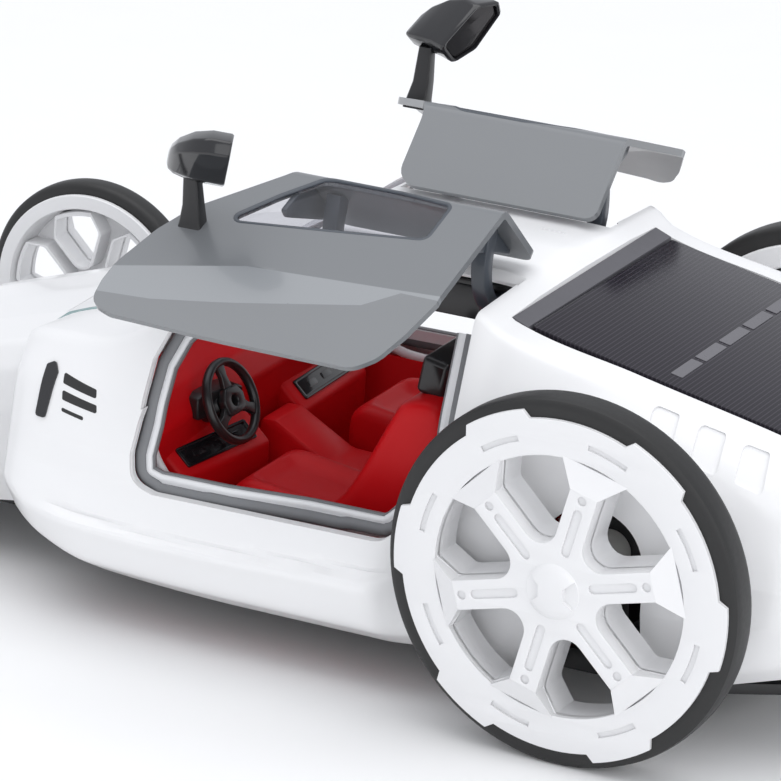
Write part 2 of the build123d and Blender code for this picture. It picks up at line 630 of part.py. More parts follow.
with BuildPart() as motor_end_cap:
    with BuildSketch(Plane.XZ.offset(20)):
        with Locations((MOTOR_X, MOTOR_Z)):
            Circle(9.6)
            Rectangle(19.2, 14.4, mode=Mode.INTERSECT)
    extrude(amount=2.2)
    with Locations((MOTOR_X - 5, -22.2, MOTOR_Z), (MOTOR_X + 5, -22.2, MOTOR_Z)):
        Box(2.2, 3, 0.5)
save(motor_end_cap.part, "motor_end_cap")

with BuildPart() as motor_cradle:
    for y in (-15, 0):
        with BuildSketch(Plane.XZ.offset(-y)):
            with BuildLine():
                Polyline((MOTOR_X - 12, PAN_TOP), (MOTOR_X + 12, PAN_TOP), (MOTOR_X + 12, MOTOR_Z + 3),
                         (MOTOR_X - 12, MOTOR_Z - 4), close=True)
            make_face()
        extrude(amount=-3)
    with Locations((MOTOR_X, 0, PAN_TOP)):
        Box(24, 36, 1.2, align=(Align.CENTER, Align.CENTER, Align.MIN))
    add(motor_can.part, mode=Mode.SUBTRACT)
    with BuildSketch(Plane.XY.offset(PAN_TOP)):
        with Locations(*SCREW_SPOTS[4:]):
            Circle(1.0)
    extrude(amount=2, mode=Mode.SUBTRACT)
save(motor_cradle.part, "motor_cradle")


def cross_axle(x, z, half_length):
    with BuildPart() as axle:
        with BuildSketch(Plane.XZ.offset(-half_length)):
            with Locations((x, z)):
                Circle(AXLE_RADIUS)
        extrude(amount=2 * half_length)
    return axle.part


AXLE_HALF = 49.0
save(cross_axle(at(0), REAR_RADIUS, AXLE_HALF), "rear_axle")
save(cross_axle(at(WHEELBASE), FRONT_RADIUS, AXLE_HALF), "front_axle")


# ---------------------------------------------------------------- wheels
SPOKES, TABS, SLOTS = 6, 6, 8
SPOKE_START, TAB_START, SLOT_START = 14.3, 54.7, 26.5
FLANGE = 1.0                # thickness of a rim flange


def wheel_set(x, radius, inner_y, name):
    """Rim, tyre and hub cap of one left wheel on the axle at x, each with its right-hand twin."""
    scale = radius / REAR_RADIUS
    seat_radius = 25.2 * scale
    barrel = 22.9 * scale
    flange_radius = 27.1 * scale
    face = WHEEL_FACE
    rise = SPOKE_RISE * scale

    def plane(y):
        return Plane((x, y, radius), x_dir=(-1, 0, 0), z_dir=(0, 1, 0))

    with BuildPart() as tyre:
        with BuildSketch(Plane((x, 0, radius), x_dir=(0, 1, 0), z_dir=(1, 0, 0))) as section:
            with Locations(((inner_y + face) / 2, seat_radius)):
                Rectangle(face - inner_y - 2 * FLANGE, radius - seat_radius, align=(Align.CENTER, Align.MIN))
            fillet(section.vertices().group_by(Axis.Y)[-1], 1.7 * scale)
        revolve(axis=Axis((x, 0, radius), (0, 1, 0)))
    save_pair(tyre.part, f"{name}_tyre")

    with BuildPart() as rim:
        for y, bore in ((inner_y, barrel), (face - FLANGE, 21.3 * scale)):
            with BuildSketch(plane(y)):
                Circle(flange_radius)
                with PolarLocations(flange_radius, TABS, start_angle=TAB_START):
                    RectangleRounded(2.8 * scale, 10.6 * scale, 0.6 * scale)
                Circle(bore, mode=Mode.SUBTRACT)
                if bore < barrel:
                    with PolarLocations(24.1 * scale, SLOTS, start_angle=SLOT_START):
                        SlotOverall(7.0 * scale, 0.9 * scale, rotation=90, mode=Mode.SUBTRACT)
            extrude(amount=FLANGE)
        with BuildSketch(plane(inner_y)):
            Circle(seat_radius)
            Circle(barrel, mode=Mode.SUBTRACT)
        extrude(amount=face - FLANGE - inner_y)
        # spokes: a web that meets the barrel, and a proud rib that ends short of the flange
        levels = [(23.9, 6.2, face - 3.4, face - 0.2), (19.4, 3.7, face - 0.2, face + rise)]
        for reach, half, low, high in levels:
            with BuildSketch(plane(low)):
                Circle(5.4 * scale)
                with PolarLocations(0, SPOKES, start_angle=SPOKE_START):
                    spoke = [(3, 2.1), (17.5, 2.7), (reach, half), (reach, -half), (17.5, -2.7), (3, -2.1)]
                    Polygon(*[(scale * u, scale * v) for u, v in spoke], align=None)
            extrude(amount=high - low)
        with BuildSketch(plane(inner_y)):
            Circle(4.0 * scale)
        extrude(amount=face - inner_y - 1)
        with BuildSketch(plane(inner_y)):
            Circle(AXLE_RADIUS)
        extrude(amount=AXLE_HALF - inner_y, mode=Mode.SUBTRACT)
    save_pair(rim.part, f"{name}_rim")

    with BuildPart() as cap:
        with BuildSketch(plane(face + rise)):
            RegularPolygon(4.4 * scale, 6)
        extrude(amount=1.0)
        chamfer(cap.faces().sort_by(Axis.Y)[-1].edges(), 0.4 * scale)
    with BuildPart() as caps:
        add(cap.part)
        add(mirror(cap.part, about=Plane.XZ))
    save(caps.part, f"{name}_hub_caps")


wheel_set(at(0), REAR_RADIUS, 43.2, "rear")
wheel_set(at(WHEELBASE), FRONT_RADIUS, 45.0, "front")
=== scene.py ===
import json
import math

import bmesh
import bpy
from mathutils import Matrix, Vector
from mathutils.bvhtree import BVHTree

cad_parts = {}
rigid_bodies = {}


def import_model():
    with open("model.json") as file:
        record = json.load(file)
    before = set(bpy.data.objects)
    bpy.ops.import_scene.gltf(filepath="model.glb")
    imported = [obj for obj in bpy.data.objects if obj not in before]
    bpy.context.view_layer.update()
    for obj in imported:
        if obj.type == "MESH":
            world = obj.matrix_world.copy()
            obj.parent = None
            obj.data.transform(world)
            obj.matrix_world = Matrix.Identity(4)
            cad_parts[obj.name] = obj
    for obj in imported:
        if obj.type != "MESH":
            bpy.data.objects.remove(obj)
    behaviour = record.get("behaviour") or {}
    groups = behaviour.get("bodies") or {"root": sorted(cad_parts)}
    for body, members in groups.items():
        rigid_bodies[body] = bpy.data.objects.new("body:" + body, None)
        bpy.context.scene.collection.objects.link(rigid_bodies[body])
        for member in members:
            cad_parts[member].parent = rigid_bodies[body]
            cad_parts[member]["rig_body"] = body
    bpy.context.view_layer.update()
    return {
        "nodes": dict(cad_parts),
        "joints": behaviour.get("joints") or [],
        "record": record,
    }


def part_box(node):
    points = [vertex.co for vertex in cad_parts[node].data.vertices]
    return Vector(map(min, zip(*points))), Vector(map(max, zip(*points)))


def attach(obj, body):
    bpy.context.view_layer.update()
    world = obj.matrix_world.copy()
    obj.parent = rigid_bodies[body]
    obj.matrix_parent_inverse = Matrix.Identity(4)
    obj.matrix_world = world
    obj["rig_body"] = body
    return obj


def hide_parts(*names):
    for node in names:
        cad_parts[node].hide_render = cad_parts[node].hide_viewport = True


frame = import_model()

# A solar-powered toy car with gull-wing doors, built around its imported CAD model.  Shapes
# are drawn in millimetres: the station ahead of the rear axle, the distance to the left of
# the centre plane, and the height above the ground.
MM = 0.001


def frame_body(node):
    return frame["nodes"][node]["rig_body"]


def centre(node):
    low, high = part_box(node)
    return (low + high) / 2


REAR_AXLE = centre("rear_axle")
FRONT_AXLE = centre("front_axle")
REAR_RADIUS = REAR_AXLE.z / MM
FRONT_RADIUS = FRONT_AXLE.z / MM
SPOKE_RISE = 1.7            # the rear wheels' spokes stand proud of the flange by this much
WHEEL_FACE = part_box("rear_rim_left")[1].y / MM - SPOKE_RISE
HINGE = next(j for j in frame["joints"] if j["name"] == "left_door_swing")
HINGE_Y, HINGE_Z = (value / MM for value in HINGE["pos_m"][1:])
OPEN_ANGLE = -min(HINGE["range_deg"])

scene = bpy.context.scene


def at(station, y, z):
    """A point in metres, from a station, a distance to the left and a height in millimetres."""
    return Vector((REAR_AXLE.x + station * MM, y * MM, z * MM))


# ---- mesh tools
def link(name, mesh):
    piece = bpy.data.objects.new(name, mesh)
    scene.collection.objects.link(piece)
    return piece


def build(name, points, faces):
    mesh = bpy.data.meshes.new(name)
    mesh.from_pydata([tuple(p) for p in points], [], faces)
    return link(name, mesh)


def grid_faces(rows, columns, close_rows=False, close_columns=False):
    """Quads over a grid whose points are listed row by row."""
    faces = []
    for i in range(rows if close_rows else rows - 1):
        for j in range(columns if close_columns else columns - 1):
            i2, j2 = (i + 1) % rows, (j + 1) % columns
            faces.append((i * columns + j, i * columns + j2, i2 * columns + j2, i2 * columns + j))
    return faces


def capped(rows, columns):
    """Quads round a closed grid, with its first and last rows filled."""
    last = (rows - 1) * columns
    return grid_faces(rows, columns, close_columns=True) + [tuple(range(columns)),
                                                            tuple(range(last, last + columns))]


def clamped(value):
    return min(max(value, 0), 1)


def apply(piece):
    """Bake the modifiers into the mesh."""
    graph = bpy.context.evaluated_depsgraph_get()
    mesh = bpy.data.meshes.new_from_object(piece.evaluated_get(graph))
    old = piece.data
    piece.modifiers.clear()
    piece.data = mesh
    if old.users == 0:
        bpy.data.meshes.remove(old)
    return piece


def modify(piece, kind, **values):
    modifier = piece.modifiers.new(kind.lower(), kind)
    for key, value in values.items():
        setattr(modifier, key, value)
    return apply(piece)


def edged(piece, width, angle_limit=0.9, segments=2):
    """Round a piece's edges by a width in millimetres, where they turn by more than an angle."""
    return modify(piece, "BEVEL", width=width * MM, segments=segments, limit_method="ANGLE",
                  angle_limit=angle_limit)


def cut(piece, *cutters, operation="DIFFERENCE"):
    for cutter in cutters:
        modify(piece, "BOOLEAN", object=cutter, operation=operation, solver="EXACT")
        bpy.data.objects.remove(cutter)
    return piece


def tidy(piece, merge=1e-6):
    """Weld doubled points, and turn the faces outward."""
    mesh = bmesh.new()
    mesh.from_mesh(piece.data)
    bmesh.ops.remove_doubles(mesh, verts=mesh.verts, dist=merge)
    bmesh.ops.dissolve_degenerate(mesh, edges=mesh.edges, dist=1e-7)
    bmesh.ops.recalc_face_normals(mesh, faces=mesh.faces)
    mesh.to_mesh(piece.data)
    mesh.free()
    return piece


def shade(piece, degrees=32):
    mesh = piece.data
    mesh.polygons.foreach_set("use_smooth", [True] * len(mesh.polygons))
    mesh.set_sharp_from_angle(angle=math.radians(degrees))
    return piece


def join(name, *pieces):
    """One object from several, which are used up."""
    mesh = bmesh.new()
    for piece in pieces:
        other = piece.data.copy()
        other.transform(piece.matrix_world)
        mesh.from_mesh(other)
        bpy.data.meshes.remove(other)
        bpy.data.objects.remove(piece)
    result = bpy.data.meshes.new(name)
    mesh.to_mesh(result)
    mesh.free()
    return link(name, result)


def transformed(piece, matrix, name):
    """A copy of a piece under a matrix, with its faces turned back outward if that mirrors it."""
    mesh = piece.data.copy()
    mesh.transform(matrix)
    if matrix.determinant() < 0:
        mesh.flip_normals()
    return link(name, mesh)


MIRROR = Matrix.Diagonal((1, -1, 1, 1))
SIDES = (("left", Matrix.Identity(4)), ("right", MIRROR))


def paint(piece, material):
    keep = [polygon.material_index for polygon in piece.data.polygons]
    piece.data.materials.clear()
    piece.data.materials.append(material)
    piece.data.polygons.foreach_set("material_index", keep)
    return piece


def settle(piece, material, body, slot, *nodes, degrees=32):
    """Shade and paint a finished piece, and hang it on its body in place of its CAD nodes."""
    shade(piece, degrees)
    paint(piece, material)
    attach(piece, body)
    if nodes:
        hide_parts(*nodes)
    return piece


# ---- outlines
def rounded(points, radius, steps=5, closed=True):
    """Replace each corner of an outline by an arc-like curve.  radius is one value or a list."""
    count = len(points)
    radii = radius if isinstance(radius, (list, tuple)) else [radius] * count
    result = []
    for i, (x, y) in enumerate(points):
        if not closed and i in (0, count - 1) or radii[i] == 0:
            result.append((x, y))
            continue
        before, after = Vector(points[i - 1]), Vector(points[(i + 1) % count])
        here = Vector((x, y))
        a, b = before - here, after - here
        half = a.angle(b) / 2
        reach = min(radii[i] / math.tan(half), 0.49 * a.length, 0.49 * b.length)
        start, end = here + a.normalized() * reach, here + b.normalized() * reach
        weight = math.sin(half)
        for k in range(steps + 1):
            t = k / steps
            w0, w1, w2 = (1 - t) ** 2, 2 * t * (1 - t) * weight, t * t
            result.append(tuple((start * w0 + here * w1 + end * w2) / (w0 + w1 + w2)))
    return result


def smooth_line(points, steps=6):
    """Catmull-Rom curve through points of any dimension."""
    ends = [points[0]] + list(points) + [points[-1]]
    result = []
    for p0, p1, p2, p3 in zip(ends, ends[1:], ends[2:], ends[3:]):
        for k in range(steps):
            t = k / steps
            result.append(tuple(
                0.5 * (2 * b + (c - a) * t + (2 * a - 5 * b + 4 * c - d) * t * t
                       + (3 * b - a - 3 * c + d) * t ** 3)
                for a, b, c, d in zip(p0, p1, p2, p3)))
    result.append(tuple(points[-1]))
    return result


def arc(radius, first, last, steps, centre=(0, 0)):
    angles = [math.radians(first + (last - first) * k / steps) for k in range(steps + 1)]
    return [(centre[0] + radius * math.cos(a), centre[1] + radius * math.sin(a)) for a in angles]


def divided(line, counts):
    """A line with each stretch divided into a number of steps."""
    result = [line[0]]
    for a, b, n in zip(line, line[1:], counts):
        result += [(a[0] + (b[0] - a[0]) * k / n, a[1] + (b[1] - a[1]) * k / n) for k in range(1, n + 1)]
    return result


def directed(line):
    """Each point of an open line, with the line's direction there."""
    for i, point in enumerate(line):
        before, after = line[max(i - 1, 0)], line[min(i + 1, len(line) - 1)]
        yield point, Vector((after[0] - before[0], after[1] - before[1])).normalized()


def turned(points, degrees):
    c, s = math.cos(math.radians(degrees)), math.sin(math.radians(degrees))
    return [(x * c - y * s, x * s + y * c) for x, y in points]


def slot_outline(length, width):
    """A rounded slot along the first axis, about the origin."""
    half = (length - width) / 2
    return arc(width / 2, -90, 90, 5, (half, 0)) + arc(width / 2, 90, 270, 5, (-half, 0))


def filled_curve(name, outlines):
    """A flat filled curve over outlines in millimetres.  Outlines inside another are holes."""
    curve = bpy.data.curves.new(name, "CURVE")
    curve.dimensions = "2D"
    curve.fill_mode = "BOTH"
    for outline in outlines:
        spline = curve.splines.new("POLY")
        spline.points.add(len(outline) - 1)
        for point, (u, v) in zip(spline.points, outline):
            point.co = (u, v, 0, 1)
        spline.use_cyclic_u = True
    return curve


def mesh_of(curve):
    """The mesh of a curve, which is used up."""
    holder = link(curve.name + "_curve", curve)
    mesh = bpy.data.meshes.new_from_object(holder)
    bpy.data.objects.remove(holder)
    bpy.data.curves.remove(curve)
    return mesh


def plate(name, outlines, low, high, bevel, basis):
    """A flat plate between two heights, with rounded edges.  basis places (u, v, height)."""
    curve = filled_curve(name, outlines)
    curve.extrude = (high - low) / 2 - bevel
    curve.bevel_depth = bevel
    curve.bevel_resolution = 2
    curve.offset = -bevel
    mesh = mesh_of(curve)
    mesh.transform(Matrix.Translation((0, 0, (low + high) / 2)))
    mesh.transform(basis)
    return tidy(link(name, mesh), 2e-6)


def basis_for(origin, u, v, w):
    """Matrix from millimetres along u, v and w at a point to metres."""
    matrix = Matrix((u, v, w)).transposed().to_4x4()
    return Matrix.Translation(origin) @ matrix @ Matrix.Scale(MM, 4)


def lathe(name, section, basis, segments=96):
    """Turn a section of (radius, height) about the basis's third axis."""
    points = []
    for k in range(segments):
        c, s = math.cos(math.tau * k / segments), math.sin(math.tau * k / segments)
        points += [basis @ Vector((r * c, r * s, h)) for r, h in section]
    faces = grid_faces(segments, len(section), close_rows=True, close_columns=True)
    return tidy(build(name, points, faces))


def sweep(name, path, section, closed=False):
    """Carry a closed section of (side, out) millimetres along a path of (point, out) pairs."""
    points = []
    count = len(path)
    for i, (point, out) in enumerate(path):
        before = path[i - 1][0] if closed or i else point
        after = path[(i + 1) % count][0] if closed or i < count - 1 else point
        along = (after - before).normalized()
        side = along.cross(out).normalized()
        up = side.cross(along)
        points += [point + side * (a * MM) + up * (b * MM) for a, b in section]
    width = len(section)
    faces = grid_faces(count, width, close_rows=True, close_columns=True) if closed else capped(count, width)
    return tidy(build(name, points, faces))


def rectangle(length, width, middle=(0, 0)):
    u, v = middle
    return [(u - length / 2, v - width / 2), (u + length / 2, v - width / 2),
            (u + length / 2, v + width / 2), (u - length / 2, v + width / 2)]


def oval(width, height, steps):
    return [(width / 2 * math.cos(math.tau * k / steps), height / 2 * math.sin(math.tau * k / steps))
            for k in range(steps)]


# ---- materials
COAT_ROUGHNESS = 0.08
GRAIN_HEIGHT = 0.0002


def set_sockets(node, values):
    """Set a node's sockets, whose names are given with underscores for spaces."""
    for socket, value in values.items():
        node.inputs[socket.replace("_", " ")].default_value = value
    return node


def add_node(made, kind, **values):
    return set_sockets(made.node_tree.nodes.new("ShaderNode" + kind), values)


def wire(made, source, output, target, socket):
    made.node_tree.links.new(source.outputs[output], target.inputs[socket])


def tint_towards(made, base, level, colour):
    """Mix the base colour with a second one, by the result of a node."""
    mix = add_node(made, "Mix")
    mix.data_type = "RGBA"
    wire(made, level, "Result", mix, "Factor")
    made.node_tree.links.new(base, mix.inputs["A"])
    mix.inputs["B"].default_value = (*colour, 1)
    wire(made, mix, "Result", made.node_tree.nodes["Principled BSDF"], "Base Color")


def material(name, colour, roughness, coat=0.0, metallic=0.0, speckle=0.04, grain=700.0, bump=0.05,
             wear=0.0, drift=0.06, **sockets):
    """Moulded plastic or metal: a tint that drifts a little, a grain in its gloss and its surface."""
    made = bpy.data.materials.new(name)
    made.use_nodes = True
    shader = made.node_tree.nodes["Principled BSDF"]
    set_sockets(shader, {"Metallic": metallic, "Coat_Weight": coat, "Coat_Roughness": COAT_ROUGHNESS})
    set_sockets(shader, sockets)
    place = add_node(made, "TexCoord")
    broad = add_node(made, "TexNoise", Scale=55.0, Detail=3.0)
    wire(made, place, "Object", broad, "Vector")
    fine = add_node(made, "TexNoise", Scale=grain, Detail=4.0)
    wire(made, place, "Object", fine, "Vector")
    tint = add_node(made, "ValToRGB")
    dark = [c * (1 - speckle) for c in colour]
    light = [min(c * (1 + speckle), 1.0) for c in colour]
    tint.color_ramp.elements[0].position = 0.3
    tint.color_ramp.elements[0].color = (*dark, 1)
    tint.color_ramp.elements[1].position = 0.7
    tint.color_ramp.elements[1].color = (*light, 1)
    wire(made, broad, "Fac", tint, "Fac")
    if wear:
        # fine scuffs that only lighten the surface
        scuff = add_node(made, "TexNoise", Scale=240.0, Detail=8.0, Distortion=2.0)
        wire(made, place, "Object", scuff, "Vector")
        level = add_node(made, "MapRange", From_Min=0.62, From_Max=0.8, To_Max=wear)
        wire(made, scuff, "Fac", level, "Value")
        tint_towards(made, tint.outputs["Color"], level, [min(c * 2 + 0.06, 0.9) for c in colour])
    else:
        wire(made, tint, "Color", shader, "Base Color")
    gloss = add_node(made, "MapRange", To_Min=max(roughness - drift, 0.02), To_Max=roughness + drift)
    wire(made, fine, "Fac", gloss, "Value")
    wire(made, gloss, "Result", shader, "Roughness")
    relief = add_node(made, "Bump", Strength=bump, Distance=GRAIN_HEIGHT)
    wire(made, fine, "Fac", relief, "Height")
    wire(made, relief, "Normal", shader, "Normal")
    return made


WHITE = material("white_plastic", (0.86, 0.86, 0.865), 0.28, coat=0.3, speckle=0.003, bump=0.0, drift=0.01)
# the rims' white is set darker than the body's white: painted shade, standing in for the shading on the
# wheels
RIM_WHITE_DARKENED_FOR_SHADE = material("white_rim_plastic_darkened_for_shade", (0.79, 0.79, 0.797), 0.34, coat=0.1, speckle=0.003, bump=0.004,
                     drift=0.02)
DOOR_FINISH = {"coat": 0.40, "speckle": 0.01, "bump": 0.004, "drift": 0.02}
GREY = material("door_grey_plastic", (0.170, 0.179, 0.189), 0.30, **DOOR_FINISH)
# a lighter copy of the door grey for the facet between the creases: painted light, as the facet catches more
# light from above
FACET_GREY_PAINTED_LIGHT = material("door_facet_grey_painted_light", (0.245, 0.258, 0.272), 0.30, **DOOR_FINISH)
SEAL = material("seal_grey", (0.20, 0.205, 0.215), 0.42, speckle=0.03, bump=0.08)
SEAL_LIGHT = material("seal_light_grey", (0.78, 0.785, 0.80), 0.35, speckle=0.02, bump=0.05)
BLACK_SMOOTH = material("smooth_black_plastic", (0.016, 0.016, 0.017), 0.34, coat=0.15, bump=0.04)
BLACK = material("black_plastic", (0.013, 0.013, 0.014), 0.38, coat=0.1, wear=0.10, bump=0.1)
GLOSS_BLACK = material("gloss_black_plastic", (0.01, 0.01, 0.012), 0.12, coat=0.5, bump=0.02)
HINGE_GREY = material("hinge_plastic", (0.055, 0.065, 0.08), 0.34, coat=0.15, bump=0.06)
RED = material("red_plastic", (0.66, 0.005, 0.009), 0.42, speckle=0.03, bump=0.02, Specular_IOR_Level=0.22)
STEEL = material("drawn_steel", (0.56, 0.57, 0.58), 0.26, metallic=1.0, grain=1500, bump=0.05)
TRAY = material("tray_grey_plastic", (0.10, 0.098, 0.11), 0.42, bump=0.08)
NYLON = material("natural_nylon", (0.62, 0.62, 0.59), 0.45, bump=0.06)
RUBBER = material("tyre_rubber", (0.014, 0.014, 0.014), 0.48, speckle=0.12, grain=1200, bump=0.12, wear=0.06)
MIRROR_FILM = material("mirror_film", (0.05, 0.048, 0.05), 0.12, metallic=0.6, bump=0.0)
TEAL = material("teal_print", (0.05, 0.22, 0.22), 0.3, coat=0.3)
GRAPHIC = material("black_print", (0.012, 0.012, 0.012), 0.3, coat=0.4, bump=0.0)


PANE_GLOSS = 0.07


def clear_plastic(name, colour):
    """A tinted pane that lets light straight through, under a faint gloss."""
    made = bpy.data.materials.new(name)
    made.use_nodes = True
    nodes = made.node_tree.nodes
    nodes.remove(nodes["Principled BSDF"])
    tint = add_node(made, "BsdfTransparent", Color=(*colour, 1))
    gloss = add_node(made, "BsdfGlossy", Roughness=0.04)
    mix = add_node(made, "MixShader")
    mix.inputs[0].default_value = PANE_GLOSS
    wire(made, tint, "BSDF", mix, 1)
    wire(made, gloss, "BSDF", mix, 2)
    wire(made, mix, "Shader", nodes["Material Output"], "Surface")
    return made


SMOKE = clear_plastic("smoke_clear_plastic", (0.84, 0.84, 0.86))


def solar_material():
    """Dark cells under clear resin, with hairline fingers across."""
    made = material("solar_cells", (0.016, 0.014, 0.020), 0.20, speckle=0.10, bump=0.0,
                    Specular_IOR_Level=0.32)
    base = made.node_tree.nodes["Principled BSDF"].inputs["Base Color"].links[0].from_socket
    fingers = add_node(made, "TexWave", Scale=420.0, Distortion=0.0)
    fingers.bands_direction = "X"
    wire(made, add_node(made, "TexCoord"), "Object", fingers, "Vector")
    lift = add_node(made, "MapRange", From_Min=0.75, To_Max=0.5)
    wire(made, fingers, "Fac", lift, "Value")
    tint_towards(made, base, lift, (0.075, 0.066, 0.085))
    return made


SOLAR = solar_material()
CELL_TAB = material("cell_tab_metal", (0.13, 0.125, 0.14), 0.3, metallic=0.35, coat=0.4)


# ---- camera, light and floor
CAMERA_PLACE = Vector((-0.42541, 0.77657, 0.36565))
CAMERA_YAW, CAMERA_PITCH, CAMERA_ROLL = (math.radians(a) for a in (-61.740, -20.582, 1.182))
LENS = 265.0
SENSOR = 36.0
CLIP_END = 20
LIGHT_TARGET = Vector((0, 0, 0.03))
FLOOR_HALF = 8


def place_camera():
    data = bpy.data.cameras.new("camera")
    data.lens = LENS
    data.sensor_width = SENSOR
    data.clip_end = CLIP_END
    ahead = Vector((math.cos(CAMERA_PITCH) * math.cos(CAMERA_YAW),
                    math.cos(CAMERA_PITCH) * math.sin(CAMERA_YAW), math.sin(CAMERA_PITCH)))
    level = ahead.cross(Vector((0, 0, 1))).normalized()
    up = level.cross(ahead)
    right = level * math.cos(CAMERA_ROLL) + up * math.sin(CAMERA_ROLL)
    up = right.cross(ahead)
    camera = link("camera", data)
    camera.matrix_world = Matrix.Translation(CAMERA_PLACE) @ Matrix(
        (right, up, -ahead)).transposed().to_4x4()
    scene.camera = camera


def area_light(name, place, size, power):
    data = bpy.data.lights.new(name, "AREA")
    data.shape = "RECTANGLE"
    data.size, data.size_y = size
    data.energy = power
    lamp = link(name, data)
    lamp.location = place
    lamp.rotation_euler = (LIGHT_TARGET - Vector(place)).to_track_quat("-Z", "Y").to_euler()


def light_studio():
    world = bpy.data.worlds.new("studio")
    scene.world = world
    world.use_nodes = True
    set_sockets(world.node_tree.nodes["Background"], {"Color": (0.93, 0.95, 1.0, 1), "Strength": 0.78})
    area_light("overhead", (0.0, 0.1, 1.2), (1.6, 1.2), 7.5)
    area_light("left_side", (-0.5, 1.5, 0.7), (1.2, 0.8), 2.6)
    area_light("behind", (-1.3, 0.5, 0.5), (1.0, 0.8), 4.6)
    corners = [(-FLOOR_HALF, -FLOOR_HALF, 0), (FLOOR_HALF, -FLOOR_HALF, 0), (FLOOR_HALF, FLOOR_HALF, 0),
               (-FLOOR_HALF, FLOOR_HALF, 0)]
    floor = build("floor", corners, [(0, 1, 2, 3)])
    paint(floor, material("pale_floor", (0.9, 0.9, 0.9), 0.7, speckle=0.004, bump=0.0))
    scene.view_settings.view_transform = "Standard"


# ---- wheels
SPOKES = 6
SPOKE_TURN, TAB_TURN, SLOT_TURN = 14.3, 54.7, 26.5   # degrees from straight back, upward
GAP_RADIUS = 21.3
SPOKE_END = 17.4            # here the ramp down to the flange begins
HALF_SPOKE = 2.4
GAP_CORNER = 14.4           # half the angle that a gap takes of the flange's inner edge
FLANGE_RADIUS, TAB_RADIUS, WEB_RADIUS = 27.1, 28.5, 22.8
RING_SLOTS, RING_SLOT_RADII, RING_SLOT_HALF_ANGLE = 8, (24.55, 23.65), 8.2


def spoke_shoulder(half_spoke=HALF_SPOKE):
    c, s = math.cos(math.radians(30)), math.sin(math.radians(30))
    return (SPOKE_END * c + half_spoke * s, SPOKE_END * s - half_spoke * c)


def gap_outline(half_spoke=HALF_SPOKE, radius=GAP_RADIUS, hub_round=3.0):
    """The opening between two spokes, about the wheel's centre, opening along the first axis."""
    shoulder = spoke_shoulder(half_spoke)
    rim_arc = arc(radius, GAP_CORNER, -GAP_CORNER, 14)
    points = [(2 * half_spoke, 0), shoulder] + rim_arc + [(shoulder[0], -shoulder[1])]
    radii = [hub_round, 1.6, 0.3] + [0] * (len(rim_arc) - 2) + [0.3, 1.6]
    return rounded(points, radii, 6)


def star_outline():
    """The raised spokes and hub, as far as the ramps."""
    x, y = spoke_shoulder()
    side = rounded([(x, -y), (2 * HALF_SPOKE, 0), (x, y)], [0, 3.0, 0], 8, closed=False)
    points = []
    for k in range(SPOKES):
        points += turned(side, SPOKE_TURN + 30 + 60 * k)
    return points


def flange_outline():
    points = []
    for k in range(SPOKES):
        middle = TAB_TURN + 60 * k
        points += arc(FLANGE_RADIUS, middle - 47.3, middle - 12.4, 12)
        points += arc(TAB_RADIUS, middle - 10.6, middle + 10.6, 8)
    return points


def hub_dome(basis, rise):
    """A low dome with two hexagonal notches at its sides."""
    section = [(0.01, 1.0), (1.6, 0.97), (2.8, 0.84), (3.7, 0.6), (4.3, 0.28), (4.65, -0.15), (4.75, -0.6),
               (4.8, -2.0), (0.01, -2.0)]
    cap = lathe("dome", [(r, h + rise) for r, h in section], basis, 72)
    for sign in (1, -1):
        notch = [(2.1, -0.95), (2.1, 0.95), (4.2, 2.75), (6.5, 2.75), (6.5, -2.75), (4.2, -2.75)]
        notch = [(sign * x, sign * y) for x, y in notch]
        cut(cap, plate("notch", [notch], rise + 0.1, rise + 2.0, 0.001, basis))
    return cap


def ramp(basis, angle, rise):
    """A spoke's slope from its raised end down to the flange."""
    c, s = math.cos(math.radians(30 - GAP_CORNER)), math.sin(math.radians(30 - GAP_CORNER))
    reach = GAP_RADIUS + 0.5
    inner, outer = (SPOKE_END - 0.05, HALF_SPOKE), (reach * c, reach * s)
    corners = []
    for height in (rise, -1.2):
        outer_height = -0.03 if height > 0 else height
        corners += [(inner[0], inner[1], height), (inner[0], -inner[1], height),
                    (outer[0], -outer[1], outer_height), (outer[0], outer[1], outer_height)]
    turn = Matrix.Rotation(math.radians(angle), 4, "Z")
    points = [basis @ turn @ Vector(p) for p in corners]
    faces = [(0, 1, 2, 3), (4, 5, 6, 7), (0, 1, 5, 4), (1, 2, 6, 5), (2, 3, 7, 6), (3, 0, 4, 7)]
    return tidy(build("ramp", points, faces))


